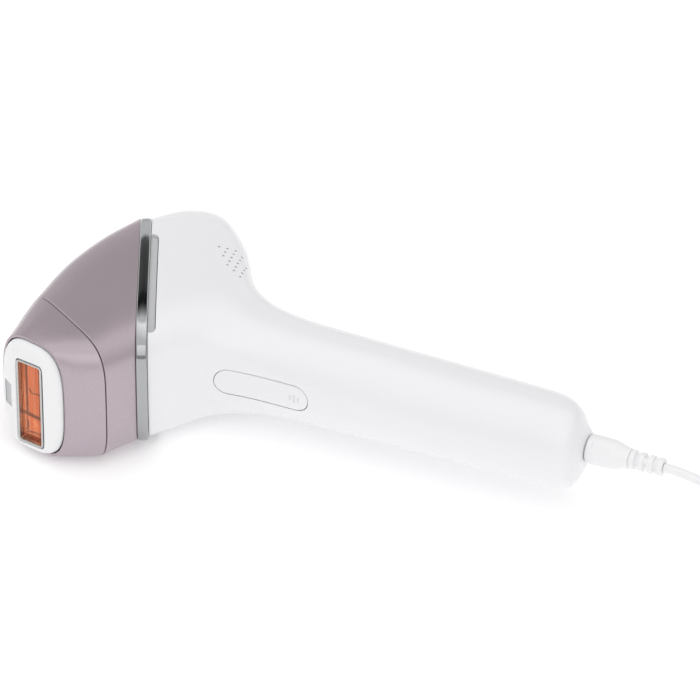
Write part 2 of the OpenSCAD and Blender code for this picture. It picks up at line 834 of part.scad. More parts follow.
module lead_coil() color([0.92, 0.92, 0.92]) seat()
    translate([COIL[0], COIL[1], COIL_FLOOR])
        rotate_extrude($fn = 96) {
            translate([coil_r - COIL_TURNS[0] * lead_d / 2, 0])
                square([COIL_TURNS[0] * lead_d, COIL_TURNS[1] * lead_d]);
            translate([coil_r - lead_d, 0])
                square([3 * lead_d, (COIL_TURNS[1] + 1) * lead_d]);
        }

module coil_tie() color([0.20, 0.20, 0.21]) seat() {
    height = (COIL_TURNS[1] + 1) * lead_d;
    width = COIL_TURNS[0] * lead_d + 0.6;
    translate([COIL[0] - coil_r, COIL[1], COIL_FLOOR + height + 0.5])
        cube([width + 1.2, 6, 0.8], center = true);
    for (side = [-1, 1])
        translate([COIL[0] - coil_r + side * (width / 2 + 0.3), COIL[1],
            COIL_FLOOR + height / 2 + 0.4])
            cube([0.6, 6, height + 0.8], center = true);
}

ADAPTER_X = 309;
ADAPTER_Y = 52;
ADAPTER = [40, 50, 28];
ADAPTER_SPLIT = 37;
PIN_SHOULDER_D = 5.4;

module adapter_half(y0, y1) {
    r = 5;
    translate([ADAPTER_X, y1, COIL_FLOOR + ADAPTER[2] / 2])
        rotate([90, 0, 0])
            linear_extrude(y1 - y0) rounded_plate(ADAPTER[0], ADAPTER[2], r);
}

module adapter_body() color([0.90, 0.90, 0.91]) seat()
    adapter_half(ADAPTER_Y, ADAPTER_Y + ADAPTER_SPLIT);

module adapter_face() color([0.90, 0.90, 0.91]) seat()
    difference() {
        adapter_half(ADAPTER_Y + ADAPTER_SPLIT, ADAPTER_Y + ADAPTER[1]);
        for (side = [-1, 1])
            translate([ADAPTER_X + side * pin_pitch / 2, ADAPTER_Y + ADAPTER[1] - 8,
                COIL_FLOOR + ADAPTER[2] / 2])
                rotate([-90, 0, 0]) cylinder(d = PIN_SHOULDER_D, h = 10);
    }

module mains_pins() color([0.78, 0.78, 0.80]) seat()
    for (side = [-1, 1])
        translate([ADAPTER_X + side * pin_pitch / 2, ADAPTER_Y + ADAPTER[1] - 8,
            COIL_FLOOR + ADAPTER[2] / 2])
            rotate([-90, 0, 0]) {
                cylinder(d = PIN_SHOULDER_D, h = 8);
                translate([0, 0, 8]) cylinder(d = pin_d, h = pin_l - 1);
                translate([0, 0, 7 + pin_l]) cylinder(d1 = pin_d, d2 = pin_d - 1.6, h = 1);
            }

module adapter_relief() color([0.90, 0.90, 0.91]) seat()
    translate([ADAPTER_X, ADAPTER_Y, COIL_FLOOR + ADAPTER[2] / 2])
        rotate([90, 0, 0]) {
            cylinder(d = 4.8, h = 14);
            for (i = [0 : 3])
                translate([0, 0, i * 3.8]) cylinder(d = 7.6 - 0.4 * i, h = 2.4);
        }

front_housing();
back_cover();
chrome_band();
hood();
intake_grilles();
exhaust_screens();
inner_frame();
main_board();
main_board_chips();
power_board();
power_board_parts();
control_board();
flash_capacitor();
trigger_coil();
heat_sink();
reflector();
flash_tube();
tube_caps();
lamp_holders();
front_bulkhead();
filter_pane();
fan_frame();
fan_motor();
fan_rotor();
flash_switch();
back_switches();
button_guide();
flash_button();
power_button();
skin_button();
indicator_lights();
dc_socket();
socket_pin();
wiring();
housing_screws();
contact_block();
attachment_shell();
attachment_frame();
light_tunnel();
window_frame();
window_glass();
pressure_pads();
contact_bezel();
sensor_window();
plug_body();
plug_barrel();
plug_relief();
lead();
lead_coil();
coil_tie();
adapter_relief();
adapter_body();
adapter_face();
mains_pins();
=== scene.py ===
"""Looks of the pulsed-light hair remover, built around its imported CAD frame.

Points in the tables below are in millimetres in the device's design frame: zero on the
chrome band's axis, +X along the handle to the lead, +Y to the back, +Z up.
"""
import json
import math

import bmesh
import bpy
import numpy as np
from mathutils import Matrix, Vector
from mathutils.bvhtree import BVHTree


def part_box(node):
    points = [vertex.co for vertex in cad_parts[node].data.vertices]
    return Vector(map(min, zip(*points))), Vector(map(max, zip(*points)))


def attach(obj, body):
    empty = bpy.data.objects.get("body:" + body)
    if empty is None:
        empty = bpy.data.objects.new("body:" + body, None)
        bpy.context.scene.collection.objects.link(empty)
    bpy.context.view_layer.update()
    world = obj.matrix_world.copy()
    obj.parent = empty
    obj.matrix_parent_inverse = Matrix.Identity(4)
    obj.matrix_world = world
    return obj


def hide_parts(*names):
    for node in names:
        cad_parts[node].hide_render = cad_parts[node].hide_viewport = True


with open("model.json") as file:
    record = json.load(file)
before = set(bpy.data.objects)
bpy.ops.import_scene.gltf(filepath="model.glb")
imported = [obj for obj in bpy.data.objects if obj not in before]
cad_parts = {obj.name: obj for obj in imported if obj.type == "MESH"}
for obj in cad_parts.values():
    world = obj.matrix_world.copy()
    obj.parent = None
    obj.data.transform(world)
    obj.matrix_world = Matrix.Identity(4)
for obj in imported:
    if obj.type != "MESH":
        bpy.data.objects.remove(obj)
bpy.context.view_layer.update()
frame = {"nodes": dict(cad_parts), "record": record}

SLOT_OF = {part["node"]: part["material_slot"] for part in frame["record"]["subparts"]}

MM = 0.001
# The socket's face and axis give the place of the design frame's zero
SOCKET_X, AXIS_Y = 178, -1.7
SOCKET_LOW, SOCKET_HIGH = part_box("dc_socket")
ZERO = np.array((SOCKET_LOW + SOCKET_HIGH) / 2)
ZERO[0] = SOCKET_HIGH[0] - SOCKET_X * MM
ZERO[1] -= AXIS_Y * MM
FLOOR_Z = -float(ZERO[2]) / MM

# ------ shape tables

# The body's stations, from the band to the socket: front edge x, y, back edge x, y,
# half width and squareness (2 is an ellipse)
BODY = [
    [18.6, -37.1, -17.4, 43.1, 26, 5],
    [25.6, -28.2, -7.6, 54.2, 26, 4.6],
    [32, -21.4, 6, 56.6, 25, 4.2],
    [39.4, -18.4, 21.7, 43.4, 23.2, 3.4],
    [49, -17.4, 34.6, 25, 20.4, 2.7],
    [62, -17.4, 54, 18.4, 18.2, 2.3],
    [90, -18.3, 90, 17.3, 17.7, 2.1],
    [130, -18.9, 130, 16.6, 16.9, 2.1],
    [158, -18.6, 158, 15.2, 16.7, 2.1],
    [168, -18.3, 166, 13.4, 16.7, 2.1],
    [175, -16.4, 172.3, 9, 14.9, 2.1],
    [177.7, -11.4, 175.9, 5.2, 10, 2],
    [178, -7.6, 178, 4.2, 5.9, 2],
]

# The hood's stations, from the attachment's joint to the band
HOOD = [
    [9.3, -52.1, -34.2, -24.3, 25.9, 4.5],
    [11, -49.1, -33.3, 0.6, 26, 4.7],
    [13.2, -45, -28.5, 23, 26, 4.9],
    [15.5, -40.6, -21.3, 41.4, 26, 5],
]

# The attachment's stations, from the bezel's seat to the joint
NOSE = [
    [-4.32, -58.37, -33.7, -50.7, 24.4, 3.3],
    [-0.2, -57.4, -33.9, -42.5, 25.2, 3.5],
    [4.2, -55.3, -34.3, -33.8, 25.7, 3.9],
    [9, -52.4, -34.3, -24.7, 25.9, 4.5],
]

# Walls of the casings, the attachment, and its rim as far along as RIM_T
WALL, NOSE_WALL, RIM_WALL, RIM_T = 2, 1.4, 0.8, 0.3
# The parting line's place and half gap round the body in degrees, the radius of the lips
# along it, and the gap round keys
SEAM, SEAM_GAP, LIP, GAP = 53, 0.25, 0.35, 0.3

# The band's direction, half sizes, middle, squareness and half thickness
BAND_A = math.atan2(0.41, 0.912)
BAND_HALF = np.array([45, 26])
BAND_X, BAND_MID = -0.4, 1.5
BAND_SQUARE = 5
BAND_EDGE = 2.05

# The window's middle, direction and size, its frame's height and rim, the bezel's half
# height, and the sensor's place and size
WINDOW = (-18, -58.5)
WINDOW_A = math.radians(260)
WINDOW_SIZE = np.array([11.3, 36.2])
FRAME_TOP, FRAME_RIM = 1.7, 0.85
BEZEL_REACH = 14
SENSOR, SENSOR_Y, SENSOR_GAP = np.array([4, 10]), -10.8, 0.12

# Places, lengths and widths of the three buttons, and the lights
FLASH_X, FLASH_L, FLASH_W = 55.2, 37, 10.4
POWER_X, POWER_L, BACK_W = 80, 16, 8
SKIN_X = 64
LIGHTS_X = [94, 99, 104, 109, 114]
LIGHT_D = 2

LEAD_D = 3.5

# Edges steeper than this many degrees stay sharp
SHARP = 32

# ------ points and meshes


def row(points):
    """Design points, in millimetres, as row points in metres."""
    return np.asarray(points, float) * MM + ZERO


def turned(points, angle, at=(0, 0)):
    """Points turned about Z, then moved in the XY plane."""
    p = np.asarray(points, float)
    c, s = math.cos(angle), math.sin(angle)
    x, y, z = p[..., 0], p[..., 1], p[..., 2]
    return np.stack([at[0] + c * x - s * y, at[1] + s * x + c * y, z], -1)


def from_nose(points):
    """Points from the window's frame, where +X faces out and Z runs along the window."""
    return turned(points, WINDOW_A, WINDOW)


def from_band(points):
    """Points from the band's frame, where +X is its axis and +Y the back."""
    return turned(points, BAND_A)


def blend4(p0, p1, p2, p3, f):
    """Catmull-Rom blend of four rows."""
    return 0.5 * (
        2 * p1
        + (p2 - p0) * f
        + (2 * p0 - 5 * p1 + 4 * p2 - p3) * f * f
        + (3 * p1 - p0 - 3 * p2 + p3) * f**3
    )


def station(rows, t):
    """The row of a table at t, from 0 at its first row to 1 at its last."""
    rows = np.asarray(rows, float)
    n = len(rows) - 1
    i = max(0, min(int(math.floor(t * n)), n - 1))
    p1, p2 = rows[i], rows[i + 1]
    p0 = rows[i - 1] if i > 0 else 2 * p1 - p2
    p3 = rows[i + 2] if i + 2 <= n else 2 * p2 - p1
    return blend4(p0, p1, p2, p3, t * n - i)


def outline(rows, t, degrees, inset):
    """Points of a station's outline at these angles, moved inwards by inset."""
    front_x, front_y, back_x, back_y, width, n = station(rows, t)
    front, back = np.array([front_x, front_y]), np.array([back_x, back_y])
    half = np.linalg.norm(back - front) / 2
    mid, along = (front + back) / 2, (back - front) / (2 * half)
    a = np.radians(degrees)
    k = (np.abs(np.cos(a)) ** n + np.abs(np.sin(a)) ** n) ** (-1 / n)
    u = np.maximum(half - inset, 0.5) * k * np.cos(a)
    z = np.maximum(width - inset, 0.5) * k * np.sin(a)
    return np.stack([mid[0] + along[0] * u, mid[1] + along[1] * u, z], 1)


def in_plane(pairs, axis, at):
    """Pairs as points of the plane where one coordinate has a value."""
    return np.insert(pairs, axis, at, axis=1)


def rounding(steps):
    """Places round an edge as shares of its radius, from its side to its end: how far
    they lie short of the end and short of the side."""
    turn = np.radians(np.linspace(0, 90, steps))
    return [(1 - math.sin(a), 1 - math.cos(a)) for a in turn]


def squircle(half, n, steps):
    """Rounded outline of two half sizes, squarer as n grows, as (across, up) pairs."""
    a = np.linspace(0, 2 * math.pi, steps, endpoint=False)
    k = (np.abs(np.cos(a)) ** n + np.abs(np.sin(a)) ** n) ** (-1 / n)
    return np.stack([half[0] * k * np.cos(a), half[1] * k * np.sin(a)], 1)


def rounded_box(half, r, steps=8):
    """Outline of a rectangle with round corners, as pairs."""
    points = []
    for i, (sx, sy) in enumerate([(1, 1), (-1, 1), (-1, -1), (1, -1)]):
        for a in np.linspace(0, 90, steps):
            turn = math.radians(90 * i + a)
            points.append([
                sx * (half[0] - r) + r * math.cos(turn),
                sy * (half[1] - r) + r * math.sin(turn),
            ])
    return np.array(points)


def stadium(length, width):
    """Outline with round ends, as pairs; point i mirrors point -1 - i."""
    r, reach = width / 2, (length - width) / 2
    right = np.radians(np.linspace(0, 90, 12))
    left = np.radians(np.linspace(90, 180, 12))
    top = [[reach + r * math.cos(a), r * math.sin(a)] for a in right]
    middle = [[x, r] for x in np.linspace(reach, -reach, 26)[1:-1]] if reach > 0.01 else []
    top += middle + [[-reach + r * math.cos(a), r * math.sin(a)] for a in left]
    return np.array(top + [[x, -y] for x, y in reversed(top)])


def grid(count, m, wrap_rows=False):
    """Quads between neighbouring rings of m points."""
    faces = []
    for i in range(count if wrap_rows else count - 1):
        low, high = i * m, ((i + 1) % count) * m
        for j in range(m):
            k = (j + 1) % m
            faces.append((low + j, low + k, high + k, high + j))
    return faces


def skin(rings):
    """Closed solid over rings of equal length, with flat ends."""
    n, m = len(rings), len(rings[0])
    ends = [tuple(range(m - 1, -1, -1)), tuple((n - 1) * m + j for j in range(m))]
    return np.concatenate(rings), grid(n, m) + ends


def looped(rings):
    """Closed solid over rings whose last meets the first, as round a frame."""
    return np.concatenate(rings), grid(len(rings), len(rings[0]), wrap_rows=True)


def mirrored_skin(rings):
    """As skin, but the last ring is closed by quads between mirrored points."""
    n, m = len(rings), len(rings[0])
    last = (n - 1) * m
    lid = [
        (last + j, last + j + 1, last + m - 2 - j, last + m - 1 - j) for j in range(m // 2 - 1)
    ]
    return np.concatenate(rings), grid(n, m) + lid + [tuple(range(m - 1, -1, -1))]


def joined(*solids):
    """Several (points, faces) solids as one."""
    points, faces, start = [], [], 0
    for p, f in solids:
        points.append(np.asarray(p, float))
        faces += [tuple(i + start for i in face) for face in f]
        start += len(p)
    return np.concatenate(points), faces


def revolved(profile, steps):
    """Ring-shaped solid turned about the plug's axis from (place along, radius) pairs."""
    a = np.linspace(0, 2 * math.pi, steps, endpoint=False)
    rings = [
        np.stack([np.full(steps, x), r * np.cos(a), r * np.sin(a)], 1) for x, r in profile
    ]
    return looped(rings)


def moved(way, solid):
    """A solid whose points go through a function."""
    points, faces = solid
    return way(points), faces


def at_socket(points):
    """Points of a turned solid, moved onto the socket's axis."""
    return points + np.array([SOCKET_X, AXIS_Y, 0])


def mesh_of(name, solid, sharp=SHARP):
    """A mesh in metres from a solid in design millimetres, smooth but for sharp edges."""
    points, faces = solid
    mesh = bpy.data.meshes.new(name)
    mesh.from_pydata(row(points).tolist(), [], faces)
    tidy = bmesh.new()
    tidy.from_mesh(mesh)
    bmesh.ops.remove_doubles(tidy, verts=tidy.verts, dist=1e-7)
    bmesh.ops.recalc_face_normals(tidy, faces=tidy.faces)
    tidy.to_mesh(mesh)
    tidy.free()
    shade(mesh, sharp)
    return mesh


def shade(mesh, sharp):
    mesh.polygons.foreach_set("use_smooth", [True] * len(mesh.polygons))
    mesh.set_sharp_from_angle(angle=math.radians(sharp))


def added(name, data):
    """A new object in the scene."""
    piece = bpy.data.objects.new(name, data)
    bpy.context.scene.collection.objects.link(piece)
    return piece


def carved(mesh, tools, operation="DIFFERENCE", sharp=SHARP):
    """The mesh with closed solids cut out of it, or kept to their inside."""
    subject = added("subject", mesh)
    tool = added("tool", mesh_of("tool", tools))
    cut = subject.modifiers.new("cut", "BOOLEAN")
    cut.operation, cut.object, cut.solver = operation, tool, "EXACT"
    depsgraph = bpy.context.evaluated_depsgraph_get()
    result = bpy.data.meshes.new_from_object(subject.evaluated_get(depsgraph))
    result.name = mesh.name
    bpy.data.objects.remove(subject)
    bpy.data.objects.remove(tool)
    shade(result, sharp)
    return result


def place(name, mesh, slot, body, nodes=(), finish=None):
    """Adds a piece, paints it, and lets it ride on its body and stand for its nodes."""
    piece = added(name, mesh)
    mesh.materials.clear()
    mesh.materials.append(FINISH[finish or slot])
    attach(piece, body)
    if nodes:
        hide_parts(*nodes)
    return piece


def place_solid(name, solid, slot, body, nodes=(), sharp=SHARP, finish=None):
    """As place, for a piece that is one uncut solid."""
    return place(name, mesh_of(name, solid, sharp), slot, body, nodes, finish)


# ------ materials


def srgb(r, g, b):
    """Linear colour of 8-bit sRGB values."""
    return tuple(
        c / 12.92 if c <= 0.04045 else ((c + 0.055) / 1.055) ** 2.4
        for c in (r / 255, g / 255, b / 255)
    )


class Tree:
    """Small helper round a node tree."""

    def __init__(self, tree):
        self.tree = tree

    def add(self, kind, **settings):
        node = self.tree.nodes.new(kind)
        for key, value in settings.items():
            setattr(node, key, value)
        return node

    def link(self, a, b):
        self.tree.links.new(a, b)

    def ramp(self, value, stops):
        """Colours or greys against a value."""
        node = self.add("ShaderNodeValToRGB")
        while len(node.color_ramp.elements) < len(stops):
            node.color_ramp.elements.new(0.5)
        for element, (at, colour) in zip(node.color_ramp.elements, stops):
            element.position = at
            rgb = (colour,) * 3 if isinstance(colour, (int, float)) else colour
            element.color = (*rgb, 1)
        self.link(value, node.inputs["Fac"])
        return node.outputs["Color"]

    def spread(self, value, low, high, to_low=0, to_high=1):
        """A value's range from low to high, spread over another range."""
        node = self.add("ShaderNodeMapRange")
        node.inputs["From Min"].default_value = low
        node.inputs["From Max"].default_value = high
        node.inputs["To Min"].default_value = to_low
        node.inputs["To Max"].default_value = to_high
        self.link(value, node.inputs["Value"])
        return node.outputs["Result"]

    def mixed(self, factor, a, b, blend="MIX"):
        """Two colours mixed by a number or by another node's value."""
        node = self.add("ShaderNodeMix", data_type="RGBA", blend_type=blend)
        if isinstance(factor, float):
            node.inputs["Factor"].default_value = factor
        else:
            self.link(factor, node.inputs["Factor"])
        self.link(a, node.inputs["A"])
        self.link(b, node.inputs["B"])
        return node.outputs["Result"]


class Nodes(Tree):
    """A new material's node tree, with the patterns and values that finishes use."""

    def __init__(self, name):
        self.material = bpy.data.materials.new(name)
        self.material.use_nodes = True
        super().__init__(self.material.node_tree)
        self.shader = self.tree.nodes["Principled BSDF"]
        self.place = self.add("ShaderNodeTexCoord").outputs["Object"]

    def stretch(self, scale):
        """Scales the place that later patterns are read at."""
        node = self.add("ShaderNodeMapping")
        node.inputs["Scale"].default_value = scale
        self.link(self.place, node.inputs["Vector"])
        self.place = node.outputs["Vector"]

    def noise(self, scale, detail):
        node = self.add("ShaderNodeTexNoise")
        node.inputs["Scale"].default_value = scale
        node.inputs["Detail"].default_value = detail
        self.link(self.place, node.inputs["Vector"])
        return node.outputs["Fac"]

    def cells(self, scale, feature="F1"):
        node = self.add("ShaderNodeTexVoronoi", feature=feature)
        node.inputs["Scale"].default_value = scale
        self.link(self.place, node.inputs["Vector"])
        return node

    def colour(self, output):
        self.link(output, self.shader.inputs["Base Color"])

    def rough(self, value, low, high):
        self.link(self.spread(value, 0.3, 0.7, low, high), self.shader.inputs["Roughness"])

    def bump(self, height, strength, distance):
        node = self.add("ShaderNodeBump")
        node.inputs["Strength"].default_value = strength
        node.inputs["Distance"].default_value = distance
        self.link(height, node.inputs["Height"])
        self.link(node.outputs["Normal"], self.shader.inputs["Normal"])

    def set(self, **values):
        for key, value in values.items():
            self.shader.inputs[key.replace("_", " ")].default_value = value


def moulded(name, tone, spread, rough, grain=(2600, 0.06), cloud=22, **values):
    """Moulded plastic, rubber or paint: slow colour drift, fine grain, uneven gloss."""
    n = Nodes(name)
    dark = tuple(c * (1 - spread) for c in tone)
    n.colour(n.ramp(n.noise(cloud, 1), [(0.2, dark), (0.8, tone)]))
    n.rough(n.noise(cloud * 4, 2), *rough)
    n.bump(n.noise(grain[0], 2), grain[1], 0.00004)
    n.set(**values)
    return n.material


def metal(name, tone, rough, stretch=(1, 1, 1), scratch=1200, strength=0.05):
    """Metal with a brushed or polished grain that follows the stretch."""
    n = Nodes(name)
    n.stretch(stretch)
    fine = n.noise(scratch, 3)
    dark = tuple(c * 0.93 for c in tone)
    n.colour(n.ramp(n.noise(scratch / 20, 3), [(0.3, dark), (0.7, tone)]))
    n.rough(fine, *rough)
    n.bump(fine, strength, 0.00002)
    n.set(Metallic=1.0)
    return n.material


# Along Y, in metres, where the band's painted dark reflection on its front face ends and its
# bright sides start
BAND_PAINTED_REFLECTION = (-0.033, -0.027)


def chrome(name):
    """Polished band, with a painted reflection: its front face is coloured darker to stand in
    for the dark reflection it shows there.
    """
    n = Nodes(name)
    split = n.add("ShaderNodeSeparateXYZ")
    n.link(n.place, split.inputs["Vector"])
    # Painted reflection: the front face gets a darker colour than the sides
    n.colour(n.ramp(n.spread(split.outputs["Y"], *BAND_PAINTED_REFLECTION), [
        (0.0, (0.4, 0.405, 0.41)), (1.0, (0.74, 0.75, 0.76)),
    ]))
    fine = n.noise(900, 3)
    n.rough(fine, 0.05, 0.1)
    n.bump(fine, 0.02, 0.00002)
    n.set(Metallic=1.0)
    return n.material


def pearl(name):
    """Mauve lacquer with fine mica flakes under a clear coat."""
    n = Nodes(name)
    flakes = n.cells(9000).outputs["Color"]
    grey = n.add("ShaderNodeSeparateColor")
    n.link(flakes, grey.inputs["Color"])
    drift = n.noise(16, 3)
    base = n.ramp(drift, [(0.3, srgb(184, 170, 178)), (0.7, srgb(188, 174, 181))])
    glint = n.ramp(grey.outputs["Red"], [(0.0, 0.86), (0.8, 1.0), (1.0, 1.1)])
    n.colour(n.mixed(1.0, base, glint, "MULTIPLY"))
    n.rough(grey.outputs["Green"], 0.34, 0.42)
    n.bump(grey.outputs["Blue"], 0.02, 0.00003)
    n.set(Metallic=0.5, Coat_Weight=0.5, Coat_Roughness=0.2)
    return n.material


def glass(name, tone, clear, rough=0.04):
    """Tinted clear pane with faint striae and smears."""
    n = Nodes(name)
    dark = tuple(c * 0.9 for c in tone)
    n.colour(n.ramp(n.noise(60, 2), [(0.3, dark), (0.7, tone)]))
    n.rough(n.noise(150, 3), rough * 0.6, rough * 1.6)
    n.bump(n.noise(90, 2), 0.05, 0.00005)
    n.set(Transmission_Weight=clear, IOR=1.45)
    return n.material


def filter_glass(name):
    """Orange filter glass, thicker and thinner in streaks along the window."""
    n = Nodes(name)
    n.stretch((1, 1, 0.03))
    streaks = n.noise(620, 2)
    n.colour(n.ramp(streaks, [
        (0.34, srgb(208, 106, 58)), (0.5, srgb(236, 138, 86)), (0.66, srgb(254, 172, 126)),
    ]))
    n.rough(n.noise(150, 3), 0.04, 0.1)
    n.bump(streaks, 0.06, 0.00005)
    n.set(Transmission_Weight=0.8, IOR=1.45)
    return n.material


def board(name):
    """Green circuit board with copper tracks under the lacquer."""
    n = Nodes(name)
    tracks = n.cells(330, "DISTANCE_TO_EDGE").outputs["Distance"]
    n.colour(n.ramp(tracks, [
        (0.0, (0.012, 0.075, 0.032)), (0.05, (0.012, 0.075, 0.032)),
        (0.08, (0.03, 0.17, 0.07)), (1.0, (0.022, 0.14, 0.058)),
    ]))
    n.rough(n.noise(400, 3), 0.3, 0.5)
    n.bump(tracks, 0.12, 0.0001)
    return n.material


WHITE = srgb(240, 240, 242)
BRASS, STEEL = (0.78, 0.72, 0.56), (0.55, 0.56, 0.58)

# Each finish: its maker, the maker's arguments and the values it sets
RECIPES = {
    "white_shell": (moulded, WHITE, 0.03, (0.27, 0.31), (3000, 0.02), 2200, dict(
        Coat_Weight=0.25, Coat_Roughness=0.2, Specular_IOR_Level=0.45)),
    "chrome": (chrome,),
    "mauve_shell": (pearl,),
    "grey_grille": (moulded, srgb(196, 197, 198), 0.05, (0.45, 0.6)),
    "dark_plastic": (moulded, (0.045, 0.045, 0.05), 0.2, (0.45, 0.65), (1800, 0.12)),
    "inner_plastic": (moulded, (0.7, 0.7, 0.68), 0.05, (0.4, 0.55), (1500, 0.1)),
    "circuit_board": (board,),
    "coil_tape": (moulded, (0.62, 0.45, 0.08), 0.15, (0.25, 0.4), (900, 0.15)),
    "capacitor_sleeve": (moulded, (0.03, 0.05, 0.16), 0.2, (0.2, 0.35)),
    "copper_winding": (metal, (0.62, 0.27, 0.11), (0.25, 0.4), (1, 12, 1), 600, 0.5),
    "heat_sink_metal": (metal, (0.66, 0.67, 0.69), (0.3, 0.45), (1, 0.1, 1), 1600, 0.15),
    "mirror_metal": (metal, (0.85, 0.85, 0.86), (0.08, 0.16), (1, 1, 0.15)),
    "quartz": (glass, (0.95, 0.97, 1.0), 0.95),
    "contact_metal": (metal, BRASS, (0.2, 0.32)),
    "white_button": (moulded, WHITE, 0.03, (0.29, 0.33), (3000, 0.02), 2200, dict(
        Coat_Weight=0.12, Coat_Roughness=0.12)),
    "grey_button": (moulded, srgb(222, 222, 225), 0.03, (0.3, 0.42), (2400, 0.08)),
    "light_guide": (glass, (0.82, 0.88, 0.95), 0.55, 0.25),
    "wire_red": (moulded, (0.45, 0.03, 0.025), 0.1, (0.4, 0.5)),
    "screw_steel": (metal, STEEL, (0.25, 0.4)),
    "window_metal": (metal, (0.55, 0.56, 0.55), (0.2, 0.32), (1, 1, 0.08), 1800, 0.06),
    "orange_glass": (filter_glass,),
    # A pale finish that glows a little: painted light, for the room's light that doesn't reach
    # the parts behind the pane
    "lit_reflector": (moulded, srgb(236, 232, 228), 0.1, (0.3, 0.45), (1500, 0.1), 300, dict(
        Emission_Color=(1, 0.96, 0.92, 1), Emission_Strength=0.55)),
    "rubber_pad": (moulded, (0.035, 0.035, 0.04), 0.2, (0.6, 0.8), (1200, 0.2)),
    "white_bezel": (moulded, srgb(240, 240, 241), 0.008, (0.3, 0.38), (2600, 0.04)),
    "sensor_grey": (moulded, srgb(172, 174, 176), 0.06, (0.12, 0.22), dict(
        Coat_Weight=0.5, Coat_Roughness=0.05)),
    "lead_white": (moulded, srgb(242, 242, 243), 0.02, (0.38, 0.5), (1600, 0.1)),
    "adapter_white": (moulded, srgb(232, 232, 233), 0.02, (0.4, 0.55), (1100, 0.2)),
}
FINISH = {}
for name, (maker, *numbers) in RECIPES.items():
    values = numbers.pop() if numbers and isinstance(numbers[-1], dict) else {}
    FINISH[name] = maker(name, *numbers, **values)

# ------ camera

FILM_MM = 36
VIEW_PX = 700
PX_PER_MM = 2.7
CAMERA_MM = 2500
AZIMUTH, ELEVATION = math.radians(24.2), math.radians(35)
# Where the middle of the picture lies from the band's centre, to the right and up
AIM = (75.56, -7.4)

BACK = Vector((
    math.sin(AZIMUTH) * math.cos(ELEVATION),
    -math.cos(AZIMUTH) * math.cos(ELEVATION),
    math.sin(ELEVATION),
))
RIGHT = Vector((math.cos(AZIMUTH), math.sin(AZIMUTH), 0))
UP = BACK.cross(RIGHT)

camera = added("camera", bpy.data.cameras.new("camera"))
camera.data.sensor_width = FILM_MM
camera.data.lens = FILM_MM * PX_PER_MM * CAMERA_MM / VIEW_PX
camera.data.clip_end = 100
camera.location = Vector(ZERO) + (RIGHT * AIM[0] + UP * AIM[1] + BACK * CAMERA_MM) * MM
camera.rotation_mode = "QUATERNION"
camera.rotation_quaternion = (-BACK).to_track_quat("-Z", "Y")
bpy.context.scene.camera = camera

# ------ lead

# The lead leaves the plug, sinks to the floor and runs into its coil
LEAD_ROUTE = [
    [207.6, -1.7, 0], [213, -1.7, -0.3], [219, -1.8, -1.2], [226, -2, -3],
    [233, -2.6, -6.2], [240, -3.6, -10.2], [247, -5, -14.6], [254, -6.8, -18.8],
    [261, -8.8, -22], [268, -10.8, -24], [274.5, -12, -24.5],
]

# The lead's end leaves the coil's top and runs through its sleeve into the adapter
END_ROUTE = [
    [308.3, 18, -14.5], [308.6, 23.5, -13.6], [308.9, 28, -12.9], [309, 33, -12.5],
    [309, 38, -12.3], [309, 46, -12.3], [309, 56, -12.3], [309, 66, -12.3],
]

COIL = (282, 14)
COIL_OUTER, COIL_INNER = 26.25, 15.75
# Degrees of the coil's turns: between points, in a crossing, in the last turn, which
# leaves towards the adapter, and in that turn's swing to the outer side
COIL_STEP, CROSSING, LAST_TURN, SWING = 8, 64, 450, 130


def eased(f):
    return f * f * (3 - 2 * f)


def coil_route():
    """Neat layers of round turns; each turn steps over by a diameter in one short crossing."""
    layers = [
        np.arange(COIL_OUTER, COIL_INNER - 0.1, -LEAD_D),
        np.arange(COIL_INNER, COIL_OUTER + 0.1, LEAD_D),
        np.arange(COIL_OUTER, COIL_INNER + LEAD_D - 0.1, -LEAD_D),
        [COIL_INNER + LEAD_D],
    ]
    turns = [(r, level) for level, radii in enumerate(layers) for r in radii]
    points = []
    # The first turn starts where the lead touches the coil, at its front
    start = -90
    for (r, level), (next_r, next_level) in zip(turns, turns[1:]):
        for a in range(0, 360, COIL_STEP):
            f = eased(max(0, a - (360 - CROSSING)) / CROSSING)
            points.append((start + a, r + (next_r - r) * f, level + (next_level - level) * f))
    # The last length swings out to the outer side and leaves there
    for a in range(0, LAST_TURN + 1, COIL_STEP):
        f = eased(min(1, a / SWING))
        r = turns[-1][0] + (COIL_OUTER - turns[-1][0]) * f
        points.append((start + a, r, turns[-1][1]))
    return [
        [
            COIL[0] + r * math.cos(math.radians(a)),
            COIL[1] + r * math.sin(math.radians(a)),
            FLOOR_Z + LEAD_D * (level + 0.5),
        ]
        for a, r, level in points
    ]


def smooth_route(points):
    """Catmull-Rom line through the points, with one point more between each two."""
    p = np.asarray(points, float)
    p = np.concatenate([[2 * p[0] - p[1]], p, [2 * p[-1] - p[-2]]])
    line = [
        blend4(p[i], p[i + 1], p[i + 2], p[i + 3], f)
        for i in range(len(p) - 3)
        for f in (0, 0.5)
    ]
    return line + [p[-2]]


route = smooth_route(LEAD_ROUTE[:-1] + coil_route() + END_ROUTE)
curve = bpy.data.curves.new("lead_cable", "CURVE")
curve.dimensions = "3D"
curve.bevel_depth = LEAD_D / 2 * MM
curve.bevel_resolution = 5
curve.use_fill_caps = True
spline = curve.splines.new("POLY")
spline.points.add(len(route) - 1)
for point, place_at in zip(spline.points, row(route)):
    point.co = (*place_at, 1)
spline.use_smooth = True
lead = added("lead_cable", curve)
curve.materials.append(FINISH["lead_white"])
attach(lead, "plug")
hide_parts("lead", "lead_coil")

# ------ casings

# The body's length along its loft, its rings, and the points round a whole casing
LOFT_RUN, BODY_RINGS, ROUND = 140, 109, 360


